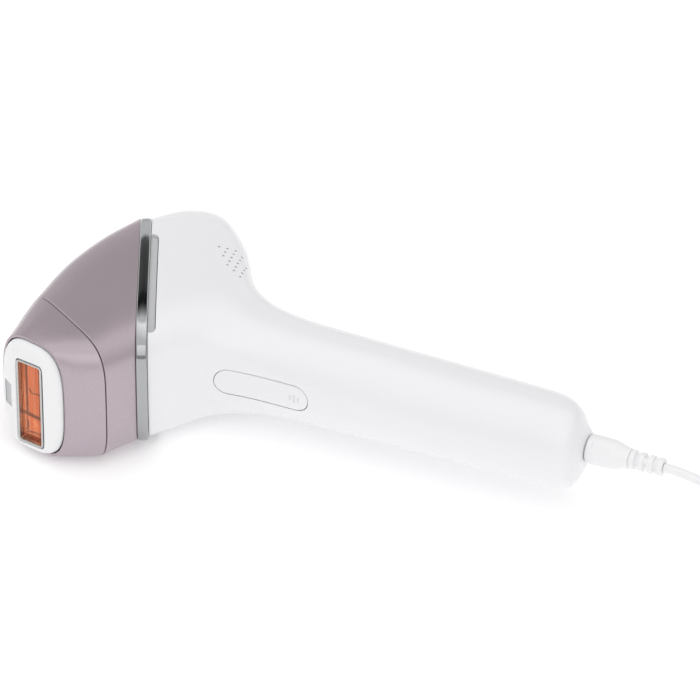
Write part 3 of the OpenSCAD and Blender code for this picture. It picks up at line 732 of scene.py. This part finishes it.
def lip_pairs(lips, radius, count):
    """(t, inset) pairs along a loft whose ends roll in by a small radius; lips says how
    much of the loft each end's roll takes up."""
    roll = rounding(5)
    first, last = lips
    pairs = [(first * end, radius * side) for end, side in roll[::-1]] if first else [(0, 0)]
    pairs += [(t, 0) for t in np.linspace(0, 1, count) if first * 1.01 < t < 1 - last * 1.01]
    pairs += [(1 - last * end, radius * side) for end, side in roll] if last else [(1, 0)]
    return pairs


def tube_shell(rows, lips, lip, count, wall, sunk=0):
    """A lofted tube with rolled ends, sunk below the table; wall gives its inside at t."""
    angles = np.linspace(0, 360, ROUND, endpoint=False)
    outer = [outline(rows, t, angles, sunk + inset) for t, inset in
             lip_pairs(lips, lip, count)]
    inner = [outline(rows, t, angles, wall(t)) for t in np.linspace(0, 1, count)]
    return looped(outer + inner[::-1])


def sector_shell(rows, a0, a1, lip, count, steps, wall):
    """Part of a lofted casing between two angles, with rolled edges along the seam."""
    roll = rounding(5)[::-1]
    rings = []
    for t, end_inset in lip_pairs((lip / LOFT_RUN, 0), lip, count):
        edge = outline(rows, t, [a0 - 0.5, a0 + 0.5], 0)
        reach = lip / np.linalg.norm(edge[1] - edge[0])
        low = [(a0 + reach * end, lip * side) for end, side in roll]
        high = [(a1 + a0 - a, inset) for a, inset in reversed(low)]
        # Every ring has the same number of points, whatever its lip reaches
        middle = [(a, 0) for a in np.linspace(low[-1][0], high[0][0], steps)[1:-1]]
        angles = np.array([a for a, _ in low + middle + high])
        insets = np.maximum([i for _, i in low + middle + high], end_inset)
        outside = outline(rows, t, angles, insets)
        inside = outline(rows, t, np.linspace(a0, a1, len(angles)), wall)
        rings.append(np.concatenate([outside, inside[::-1]]))
    m = len(rings[0])
    last = (len(rings) - 1) * m
    caps = []
    for j in range(m // 2 - 1):
        caps.append((j, m - 1 - j, m - 2 - j, j + 1))
        caps.append((last + j, last + j + 1, last + m - 2 - j, last + m - 1 - j))
    return np.concatenate(rings), grid(len(rings), m) + caps


def upright(pairs, z0, z1):
    """A prism along Z from an outline in the XY plane."""
    return skin([in_plane(pairs, 2, z) for z in (z0, z1)])


def through(pairs, x, y0, y1):
    """A prism along Y from an outline in the XZ plane, moved to x."""
    return skin([in_plane(pairs + [x, 0], 1, y) for y in (y0, y1)])


# The intake pockets: their ends along the band, depth, corner radius, and heights
POCKET_U = (-34.7, 25.3)
POCKET_DEPTH, POCKET_R = 3, 2.6
POCKET_Z = (17, 30)
# From where to where the tools cut along Y, for the flash key, the back keys, the lights
FLASH_CUT, BACK_CUT, LIGHT_CUT = (-30, -9), (5, 26), (12, 24)


def pocket(side, clear):
    """Prism of the intake pocket beside the band, on one flat side."""
    u0, u1 = POCKET_U[0] + clear, POCKET_U[1] - clear
    edge = BAND_X + BAND_EDGE + 0.05
    x0, x1, r = edge - 0.4, edge + POCKET_DEPTH - clear, POCKET_R
    turn = np.radians(np.linspace(0, 90, 9))
    pairs = [[x0, u0]]
    pairs += [[x1 - r + r * math.sin(a), u0 + r - r * math.cos(a)] for a in turn]
    pairs += [[x1 - r + r * math.cos(a), u1 - r + r * math.sin(a)] for a in turn]
    pairs += [[x0, u1]]
    return moved(from_band, upright(pairs, *sorted(side * z for z in POCKET_Z)))


# Slanting columns of small holes where the warm air leaves: the first hole, the step to
# the next column, the step down a column, and the first and last hole of each column
VENT = (17.1, 27.9)
VENT_ALONG, VENT_DOWN = (2.95, 0.95), (0.38, -2.6)
VENT_COLUMNS = [(0, 0), (0, 2), (0, 4), (1, 5), (3, 6)]
VENT_HOLE, VENT_Z = 0.98, (14, 30)


def vent_holes():
    """The exhaust holes of both flat sides, as upright drills."""
    holes = []
    for i, (first, last) in enumerate(VENT_COLUMNS):
        for j in range(first, last + 1):
            x = VENT[0] + i * VENT_ALONG[0] + j * VENT_DOWN[0]
            y = VENT[1] + i * VENT_ALONG[1] + j * VENT_DOWN[1]
            ring = squircle((VENT_HOLE / 2, VENT_HOLE / 2), 2, 20) + [x, y]
            for side in (-1, 1):
                holes.append(upright(ring, *sorted(side * z for z in VENT_Z)))
    return holes


front_mesh = mesh_of("front_casing", sector_shell(
    BODY, SEAM + SEAM_GAP, 360 - SEAM - SEAM_GAP, LIP, BODY_RINGS, 200, WALL
))
front_mesh = carved(front_mesh, joined(
    pocket(1, 0),
    pocket(-1, 0),
    through(stadium(FLASH_L + 2 * GAP, FLASH_W + 2 * GAP), FLASH_X, *FLASH_CUT),
    *vent_holes(),
))
place("front_casing", front_mesh, "white_shell", "housing", ["front_housing"])

back_mesh = mesh_of("back_casing", sector_shell(
    BODY, -SEAM, SEAM, LIP, BODY_RINGS, 90, WALL
))
back_mesh = carved(back_mesh, joined(
    through(stadium(POWER_L + 2 * GAP, BACK_W + 2 * GAP), POWER_X, *BACK_CUT),
    through(squircle((BACK_W / 2 + GAP,) * 2, 2, 48), SKIN_X, *BACK_CUT),
    *[through(squircle((LIGHT_D / 2 + 0.2,) * 2, 2, 24), x, *LIGHT_CUT) for x in LIGHTS_X],
))
place("back_casing", back_mesh, "white_shell", "housing", ["back_cover"])

# The intake strips: grey, sunk into the casing beside the band
intake_mesh = mesh_of("intake_strips", tube_shell(
    BODY[:4], (0, 0), 0, 31, lambda t: 2.5, sunk=1.2
))
intake_mesh = carved(intake_mesh, joined(pocket(1, GAP), pocket(-1, GAP)), "INTERSECT")
place("intake_strips", intake_mesh, "grey_grille", "housing", ["intake_grilles"])

place_solid("hood_casing", tube_shell(HOOD, (0.022, 0.022), 0.3, 37, lambda t: WALL),
            "mauve_shell", "housing", ["hood"])


def nose_wall(t):
    """Wall of the attachment, thin where the bezel slides in."""
    return RIM_WALL + (NOSE_WALL - RIM_WALL) * eased(min(1, max(0, (t - RIM_T) / 0.02)))


place_solid("attachment_casing", tube_shell(NOSE, (0.016, 0.016), 0.3, 61, nose_wall),
            "mauve_shell", "attachment", ["attachment_shell"])

# ------ chrome band

# How far the band stands proud, how deep it reaches in, its edges' radius, and its crown
BAND_PROUD, BAND_INSIDE, BAND_ROUND, BAND_CROWN = 0.3, -3.6, 0.5, 0.12


def band_solid():
    """The band's rounded section, carried round its outline."""
    roll = rounding(7)
    x, g, r = BAND_EDGE, BAND_PROUD, BAND_ROUND
    section = [(-x, BAND_INSIDE)]
    section += [(-x + r * side, g - r * end) for end, side in roll]
    # The face is crowned a little, as polished bands are
    section += [(f * (x - r), g + BAND_CROWN * (1 - f * f)) for f in (-0.6, -0.2, 0.2, 0.6)]
    section += [(x - r * side, g - r * end) for end, side in roll[::-1]]
    section += [(x, BAND_INSIDE)]
    rings = []
    for along, grow in section:
        ring = squircle(BAND_HALF + grow, BAND_SQUARE, 480)
        rings.append(in_plane(ring + [BAND_MID, 0], 0, BAND_X + along))
    return moved(from_band, looped(rings))


place_solid("band_polished", band_solid(), "chrome", "housing", ["chrome_band"], sharp=50)

# ------ buttons and lights


def key(outline_at, top, bottom, roll, inner, dish=0.0):
    """A key whose top follows a surface: outline_at gives its outline at an inset,
    top its points at a depth under the surface, and bottom its underside."""
    rings = [bottom(outline_at(0))]
    rings += [top(outline_at(roll * side), roll * end) for end, side in rounding(6)]
    for f in np.linspace(0, 1, 9)[1:]:
        rings.append(top(outline_at(roll + (inner - roll) * f), dish * eased(f)))
    return mirrored_skin(rings)


def tree_of(mesh):
    return BVHTree.FromPolygons(
        [v.co for v in mesh.vertices], [tuple(p.vertices) for p in mesh.polygons]
    )


BODY_TREE = tree_of(mesh_of("body_form", tube_shell(
    BODY, (0, 0), 0, BODY_RINGS, lambda t: WALL
)))


# Rays towards the casing start this far out
OUTSIDE = 80


def on_casing(pairs, x, side, depth):
    """Points on the casing's front (side -1) or back (side 1), at a depth under it."""
    points = []
    for across, z in pairs:
        start = Vector(row([x + across, side * OUTSIDE, z]))
        hit, normal, _, _ = BODY_TREE.ray_cast(start, Vector((0, -side, 0)))
        points.append((np.array(hit) - ZERO) / MM - np.array(normal) * depth)
    return np.array(points)


def casing_key(x, side, length, width, bottom_y, proud, roll, inner, dish=0.0):
    """A key that stands proud of the casing, round where its length is its width."""
    return key(
        lambda inset: stadium(length - 2 * inset, width - 2 * inset),
        lambda pairs, drop: on_casing(pairs, x, side, drop - proud),
        lambda pairs: in_plane(pairs + [x, 0], 1, bottom_y),
        roll, inner, dish,
    )


KEY_ROLL, KEY_MID = 0.35, 0.15
place_solid("flash_key", casing_key(
    FLASH_X, -1, FLASH_L, FLASH_W, bottom_y=-15.1, proud=0.05, roll=KEY_ROLL,
    inner=FLASH_W / 2 - KEY_MID,
), "white_button", "flash_key", ["flash_button"])
for name, node, x, length in (("power_key", "power_button", POWER_X, POWER_L),
                              ("skin_key", "skin_button", SKIN_X, BACK_W)):
    place_solid(name, casing_key(
        x, 1, length, BACK_W, bottom_y=14.2, proud=0.3, roll=KEY_ROLL,
        inner=BACK_W / 2 - KEY_MID, dish=0.35,
    ), "grey_button", name, [node])

lights = [
    casing_key(x, 1, LIGHT_D, LIGHT_D, bottom_y=LIGHT_CUT[0], proud=0.1, roll=0.3,
               inner=LIGHT_D / 2 - 0.1)
    for x in LIGHTS_X
]
place_solid("light_guides", joined(*lights), "light_guide", "housing", ["indicator_lights"])

# Three short raised bars that a finger finds at the flash key's end
MARKS_X, MARK_STEP, MARK_W = FLASH_X + 11.4, 1.7, 0.7
marks = []
for i, length in enumerate((2.2, 3.4, 2.2)):
    x = MARKS_X + MARK_STEP * i
    marks.append(key(
        lambda inset: stadium(length - 2 * inset, MARK_W - 2 * inset)[:, ::-1],
        lambda pairs, drop: on_casing(pairs, x, -1, drop - 0.17),
        lambda pairs: on_casing(pairs, x, -1, 0.3),
        0.12, 0.3,
    ))
place_solid("flash_key_marks", joined(*marks), "grey_button", "flash_key")

# ------ window and bezel

# The bezel's section: height in the window's frame, half sizes, squareness, middle, and
# how far it falls away per millimetre towards the back
BEZEL = [
    [-6, 13.6, 22.8, 3.2, -1.75, 0.08], [-4, 13.85, 23.05, 3.2, -1.75, 0.08],
    [-2.6, 14, 23.2, 3.2, -1.75, 0.08], [-1.7, 13.85, 23.05, 3.2, -1.75, 0.08],
    [-0.8, 13.35, 22.7, 3.25, -1.7, 0.08], [0, 12.5, 22.1, 3.4, -1.6, 0.075],
    [0.7, 11.2, 21.3, 3.7, -1.35, 0.065], [1.2, 9.6, 20.4, 4.3, -0.9, 0.045],
    [1.5, 8, 19.5, 5.6, -0.45, 0.02], [1.6, 6.9, 18.95, 8, -0.1, 0.005],
    [1.58, 6.35, 18.7, 11, 0, 0], [1.35, 6.05, 18.48, 13, 0, 0],
    [0.9, 5.95, 18.4, 14, 0, 0], [-1.5, 5.95, 18.4, 14, 0, 0], [-6, 5.95, 18.4, 14, 0, 0],
]


def bezel_solid():
    rings = []
    for t in np.linspace(0, 1, 71):
        x, half_y, half_z, n, middle, fall = station(BEZEL, t)
        ring = squircle((half_y, half_z), n, 360)
        height = x - fall * (BEZEL_REACH - ring[:, 0])
        rings.append(np.column_stack([height, ring[:, 0] + middle, ring[:, 1]]))
    return moved(from_nose, looped(rings))


def plate(half, r, levels, y=0.0):
    """A plate in the window's frame from (height, inset) levels, closed at both ends."""
    rings = []
    for x, inset in levels:
        ring = rounded_box(half - inset, max(0.15, r - inset))
        rings.append(in_plane(ring + [y, 0], 0, x))
    return moved(from_nose, skin(rings))


bezel_mesh = mesh_of("bezel_casing", bezel_solid(), 40)
BEZEL_TREE = tree_of(bezel_mesh)
sensor_half = SENSOR / 2
bezel_mesh = carved(bezel_mesh, plate(
    sensor_half + SENSOR_GAP, 0.7, [(-1.6, 0), (4, 0)], SENSOR_Y
), sharp=40)
place("bezel_casing", bezel_mesh, "white_bezel", "bezel", ["contact_bezel"])


def on_bezel(pairs, depth):
    """Points on the bezel's face, at a depth under it along the window's axis."""
    out = Vector((math.cos(WINDOW_A), math.sin(WINDOW_A), 0))
    points = []
    for y, z in pairs:
        start = Vector(row(from_nose([10, y, z])))
        hit = BEZEL_TREE.ray_cast(start, -out)[0]
        points.append((np.array(hit) - ZERO) / MM - np.array(out) * depth)
    return np.array(points)


def sensor_outline(inset):
    return rounded_box(sensor_half - inset, 0.6 - inset * 0.2) + [SENSOR_Y, 0]


sensor = key(
    sensor_outline,
    lambda pairs, drop: on_bezel(pairs, drop + 0.22),
    lambda pairs: from_nose(in_plane(pairs, 0, -1.5)),
    0.2, sensor_half[0] - 0.3, 0.12,
)
place_solid("sensor_pane", sensor, "sensor_grey", "bezel", ["sensor_window"])

# Thin satin metal frame round the window; the pane lies deep inside it
window_half = WINDOW_SIZE / 2
frame_rings = []
for drop, inset in [
    (3.3, 0), (0.3, 0), (0.14, 0.05), (0.03, 0.15), (0, 0.28), (0, 0.57),
    (0.03, 0.7), (0.14, 0.8), (0.3, FRAME_RIM), (3.3, FRAME_RIM),
]:
    ring = rounded_box(window_half - inset, 1.6 - inset)
    frame_rings.append(in_plane(ring, 0, FRAME_TOP - drop))
place_solid("window_rim", moved(from_nose, looped(frame_rings)), "window_metal",
            "attachment", ["window_frame"], sharp=40)

place_solid("window_pane", plate(
    window_half - FRAME_RIM - 0.05, 0.7, [(-1.6, 0.1), (-1.5, 0), (-0.5, 0), (-0.4, 0.1)]
), "orange_glass", "attachment", ["window_glass"])

# Pale strips that line the light's way behind the pane: place across, width and tilt.
# They glow a little, for the room's light that doesn't reach them through the pane
STRIPS = [(-3.5, 1.1, 0.5), (-2, 1.5, -0.35), (0, 1.9, 0.15), (1.9, 1.4, 0.4),
          (3.5, 1.2, -0.5)]
STRIP_DEPTH, STRIP_REACH = 3.4, 15.6
strips = []
for y, width, tilt in STRIPS:
    rings = []
    for z in (-STRIP_REACH, STRIP_REACH):
        edge = np.array([[-1, -0.1], [1, -0.1], [1, 0.1], [-1, 0.1]]) * [width / 2, 1]
        rings.append(np.column_stack([
            edge[:, 1] + edge[:, 0] * tilt - STRIP_DEPTH, y + edge[:, 0], np.full(4, z)
        ]))
    strips.append(skin(rings))
place_solid("light_way_strips", moved(from_nose, joined(*strips)), "inner_plastic",
            "attachment", finish="lit_reflector")


def bar(start, end, width, height, level):
    """A bar across the light's way between two (across, along) points."""
    start, end = np.array(start, float), np.array(end, float)
    ahead = (end - start) / np.linalg.norm(end - start)
    side = np.array([-ahead[1], ahead[0]]) * width / 2
    corners = np.array([start - side, end - side, end + side, start + side])
    return moved(from_nose, skin([
        in_plane(corners, 0, x) for x in (level, level + height)
    ]))


# The dark holder across the way, its two crossed springs and its retaining wire
place_solid("light_way_bars", joined(
    bar((-4.4, -7.6), (4.4, -8.6), 1.2, 0.5, -2.9),
    bar((-1.6, 2.2), (4.4, 2.8), 0.35, 0.35, -2.7),
    bar((-1.6, 2.2), (-2.6, 4), 0.35, 0.35, -2.7),
), "dark_plastic", "attachment", sharp=20)
# The springs and the wire take the glowing finish too: painted light, so they show as lighter
# lines
place_solid("light_way_springs", joined(
    bar((-4.2, -15.4), (4.2, -9.8), 0.4, 0.3, -2.8),
    bar((-4.2, -10.2), (4.2, -15.2), 0.4, 0.3, -3.15),
    bar((-4.4, -8.9), (4.4, -9.9), 0.3, 0.3, -2.7),
), "inner_plastic", "attachment", sharp=20, finish="lit_reflector")

# ------ plug and relief

plug_profile = [
    (0.3, 1.7), (0.3, 4.7), (0.36, 4.95), (0.55, 5.2), (0.9, 5.4), (1.4, 5.5), (5, 5.52),
    (8.6, 5.48), (10.2, 5.32), (11.8, 4.98), (13.2, 4.52), (14.6, 4.1), (15.8, 3.86),
    (16.5, 3.8), (16.5, 1.7),
]
plug_mesh = mesh_of("plug_grip", moved(at_socket, revolved(plug_profile, 96)), 40)
# Finger dents in two sides of the plug, tapering inwards
DENT_X, DENT_TURNS = SOCKET_X + 6.3, (50, 230)
dents = []
for turn in DENT_TURNS:
    a = math.radians(turn)
    rings = []
    for depth, half, r in ((5.05, (3.4, 2.6), 1.0), (7.5, (4.4, 3.6), 1.6)):
        ring = rounded_box(half, r)
        p = np.column_stack([
            DENT_X + ring[:, 0], ring[:, 1] * math.sin(a) - depth * math.cos(a),
            ring[:, 1] * math.cos(a) + depth * math.sin(a),
        ])
        rings.append(p + [0, AXIS_Y, 0])
    dents.append(skin(rings))
plug_mesh = carved(plug_mesh, joined(*dents), sharp=40)
plug_grip = place("plug_grip", plug_mesh, "lead_white", "plug", ["plug_body"])

# The relief's ribs, with two bridges between each and the next, a quarter turn on
RELIEF_X, RIB_STEP = 16.5, 3.6
relief_profile = [(RELIEF_X, 1.75)]
for i in range(4):
    r, x = 3.6 - 0.1 * i, RELIEF_X + RIB_STEP * i
    relief_profile += [
        (x, 2.3), (x, r - 0.35), (x + 0.1, r - 0.12), (x + 0.35, r), (x + 1.85, r),
        (x + 2.1, r - 0.12), (x + 2.2, r - 0.35), (x + 2.2, 2.3),
    ]
relief_profile += [(29.5, 1.75)]
relief_parts = [revolved(relief_profile, 72)]
for i in range(3):
    x = RELIEF_X + RIB_STEP * i + 2
    a = math.radians(40 + 90 * (i % 2))
    across, up = np.array([math.cos(a), math.sin(a)]), np.array([-math.sin(a), math.cos(a)])
    for side in (-1, 1):
        pairs = rounded_box((0.75, 1.1), 0.25, 4) + [side * 2.1, 0]
        pairs = pairs[:, :1] * across + pairs[:, 1:] * up
        relief_parts.append(skin([in_plane(pairs, 0, along) for along in (x, x + 1.8)]))
plug_sleeve = place_solid("plug_sleeve", moved(at_socket, joined(*relief_parts)),
                          "lead_white", "plug", ["plug_relief"], sharp=40)

# ------ adapter

ADAPTER_X, ADAPTER_Y = 309, 52
ADAPTER = (40, 50, 28)
ADAPTER_MID = FLOOR_Z + ADAPTER[2] / 2
ADAPTER_SPLIT = 37
PIN_PITCH, PIN_D, PIN_L = 18.6, 4, 19


def block(levels, r=5.0):
    """The adapter's block from (place along, inset) levels."""
    rings = []
    for y, inset in levels:
        half = np.array([ADAPTER[0], ADAPTER[2]]) / 2 - inset
        ring = rounded_box(half, max(0.5, r - inset), 12)
        rings.append(in_plane(ring + [ADAPTER_X, ADAPTER_MID], 1, ADAPTER_Y + y))
    return skin(rings)


def rolled(y, radius, inward):
    """(place, inset) levels of a rounded end; inward is 1 where the block follows."""
    levels = [(y + inward * radius * end, radius * side) for end, side in rounding(8)]
    return levels[::-1] if inward > 0 else levels


body_levels = rolled(0, 3, 1) + [(ADAPTER_SPLIT - 0.5, 0), (ADAPTER_SPLIT - 0.2, 0.12),
                                 (ADAPTER_SPLIT, 0.4)]
face_levels = [(ADAPTER_SPLIT, 0.4), (ADAPTER_SPLIT + 0.2, 0.12), (ADAPTER_SPLIT + 0.5, 0)]
face_levels += rolled(ADAPTER[1], 2, -1)
adapter_back = place_solid("adapter_back", block(body_levels), "adapter_white", "plug",
                           ["adapter_body"], sharp=30)


def pins(profile):
    """A turned part of both mains pins, from pairs of its place past the adapter's face
    and its radius."""
    parts = []
    for side in (-1, 1):
        middle = [ADAPTER_X + side * PIN_PITCH / 2, ADAPTER_MID]
        parts.append(skin([
            in_plane(squircle((r, r), 2, 40) + middle, 1, ADAPTER_Y + ADAPTER[1] + y)
            for y, r in profile
        ]))
    return joined(*parts)


adapter_front = place("adapter_front", carved(
    mesh_of("adapter_front", block(face_levels), 30),
    pins([(-8, 2.75), (3, 2.75)]), sharp=30,
), "adapter_white", "plug", ["adapter_face"])

# The pins' bare ends and their insulating sleeves
tip = [(PIN_L - 1.2 * end, PIN_D / 2 - 1.1 * side) for end, side in rounding(7)]
pins_metal = place_solid("pins_metal", pins(
    [(9.7, 1.6), (9.8, PIN_D / 2 - 0.1), (9.95, PIN_D / 2)] + tip
), "contact_metal", "plug", ["mains_pins"], sharp=40)
pin_sleeves = place_solid("pin_sleeves", pins([
    (-8, 2.7), (-0.1, 2.7), (0.1, 2.6), (0.3, 2.2), (0.7, PIN_D / 2), (9.6, PIN_D / 2),
    (9.75, PIN_D / 2 - 0.1), (9.8, 1.5),
]), "adapter_white", "plug", sharp=40)

# The adapter's own relief, ribs growing towards the adapter
sleeve_profile = [(14, 1.8), (14, 2.4)]
for i in reversed(range(4)):
    r, x = 3.8 - 0.2 * i, 3.8 * i
    sleeve_profile += [
        (min(x + 2.4, 13.9), 2.4), (x + 2.4, r - 0.3), (x + 2.3, r - 0.1), (x + 2.1, r),
        (x + 0.3, r), (x + 0.1, r - 0.1), (x, r - 0.3), (x, 2.4),
    ]
sleeve_profile += [(0, 1.8)]
adapter_sleeve = place_solid("adapter_sleeve", moved(
    lambda p: np.column_stack([
        ADAPTER_X + p[:, 1], ADAPTER_Y - p[:, 0], ADAPTER_MID + p[:, 2]
    ]), revolved(sleeve_profile, 72),
), "adapter_white", "plug", ["adapter_relief"], sharp=40)

# Hook-and-loop strap over the coil
TIE_HALF, TIE_TOP, TIE_R = 7.55, 14.45, 2.2
TIE_X = COIL[0] - 21
TIE_SECTION = [(-3, 0.1), (-2.9, 0), (2.9, 0), (3, 0.1), (3, 0.55), (2.85, 0.7),
               (-2.85, 0.7), (-3, 0.55)]
path = [[-TIE_HALF, 0.2]]
path += [[-TIE_HALF + TIE_R * side, TIE_TOP - TIE_R * end] for end, side in rounding(8)]
path += [[-p[0], p[1]] for p in reversed(path)]
path = np.array(path)
ahead = np.gradient(path, axis=0)
ahead /= np.linalg.norm(ahead, axis=1)[:, None]
outwards = np.column_stack([-ahead[:, 1], ahead[:, 0]])
rings = []
for p, out in zip(path, outwards):
    ring = [(p + out * up, across) for across, up in TIE_SECTION]
    rings.append(np.array([
        [TIE_X + at[0], COIL[1] + across, FLOOR_Z + at[1]] for at, across in ring
    ]))
tie = place_solid("coil_strap", skin(rings), "rubber_pad", "plug", ["coil_tie"], sharp=40)

# ------ the remaining CAD parts

EDGE_MM = 0.12
for name, node in frame["nodes"].items():
    if node.hide_render:
        continue
    node.data.materials.clear()
    node.data.materials.append(FINISH[SLOT_OF[name]])
    soften = node.modifiers.new("edges", "BEVEL")
    soften.width = EDGE_MM * MM
    soften.segments = 2
    soften.limit_method = "ANGLE"
    soften.angle_limit = math.radians(50)

# ------ floor, lights and world


def floor_finish():
    """White paper, lit a little from below as on a light table."""
    n = Nodes("floor_paper")
    n.colour(n.ramp(n.noise(3, 4), [(0.3, (0.9, 0.9, 0.905)), (0.7, (0.92, 0.92, 0.922))]))
    n.rough(n.noise(40, 3), 0.75, 0.9)
    n.bump(n.noise(900, 3), 0.05, 0.0001)
    n.set(Emission_Color=(1, 1, 1, 1), Emission_Strength=0.24)
    return n.material


FLOOR_HALF = 30
floor_mesh = bpy.data.meshes.new("floor")
floor_mesh.from_pydata(
    [(x * FLOOR_HALF, y * FLOOR_HALF, 0) for x, y in ((-1, -1), (1, -1), (1, 1), (-1, 1))],
    [], [(0, 1, 2, 3)],
)
floor_mesh.materials.append(floor_finish())
added("floor", floor_mesh)


def softbox(name, at, target, size, power, mirrored=False):
    """A square area light at a point, facing another; glossy parts mirror it or not."""
    light = bpy.data.lights.new(name, "AREA")
    light.shape, light.size, light.energy = "SQUARE", size, power
    lamp = added(name, light)
    lamp.location = at
    lamp.visible_glossy = mirrored
    lamp.rotation_mode = "QUATERNION"
    lamp.rotation_quaternion = (Vector(at) - Vector(target)).to_track_quat("Z", "Y")


softbox("softbox_top", (0.1, 0.1, 1.5), (0, 0, 0), size=1.4, power=2)
softbox("softbox_left", (-1.3, 0.5, 0.9), (-0.05, 0, 0.02), size=1.1, power=3)
softbox("softbox_front", BACK * 2.8, (0, 0, 0.02), size=2.2, power=10, mirrored=True)


class Sky(Tree):
    """The world's node tree, with colours that change along a direction."""

    def __init__(self):
        world = bpy.data.worlds.new("studio")
        bpy.context.scene.world = world
        world.use_nodes = True
        super().__init__(world.node_tree)
        self.light = self.tree.nodes["Background"]
        self.way = self.add("ShaderNodeTexCoord").outputs["Generated"]

    def greys(self, direction, low, high, stops):
        """Greys against how far a way points along a direction, low to high as 0 to 1."""
        dot = self.add("ShaderNodeVectorMath", operation="DOT_PRODUCT")
        dot.inputs[1].default_value = direction
        self.link(self.way, dot.inputs[0])
        return self.ramp(self.spread(dot.outputs["Value"], low, high), stops)


# A pale room, brighter overhead, and a card with black and grey fields behind the device:
# the band's flat side mirrors the card, the fields one above the other
CARD_WAY = Vector((-BACK.x, -BACK.y, BACK.z))
CARD_DOWN = Vector((-0.236, 0.524, -0.82)).normalized()
sky = Sky()
room = sky.greys((0, 0, 1), -0.2, 1, [(0, 0.44), (0.35, 0.46), (0.75, 0.8), (1, 1)])
card = sky.greys(CARD_DOWN, -0.3, 0.15, [
    (0, 0.5), (0.11, 0.5), (0.42, 0.12), (0.54, 0.008), (0.66, 0.008), (0.69, 0.05),
    (0.84, 0.085), (0.88, 0.5),
])
near = sky.greys(CARD_WAY, 0.88, 1, [(0, 0), (0.2, 0), (0.5, 1)])
sky.link(sky.mixed(near, room, card), sky.light.inputs["Color"])
sky.light.inputs["Strength"].default_value = 1.1

bpy.context.scene.view_settings.view_transform = "Standard"
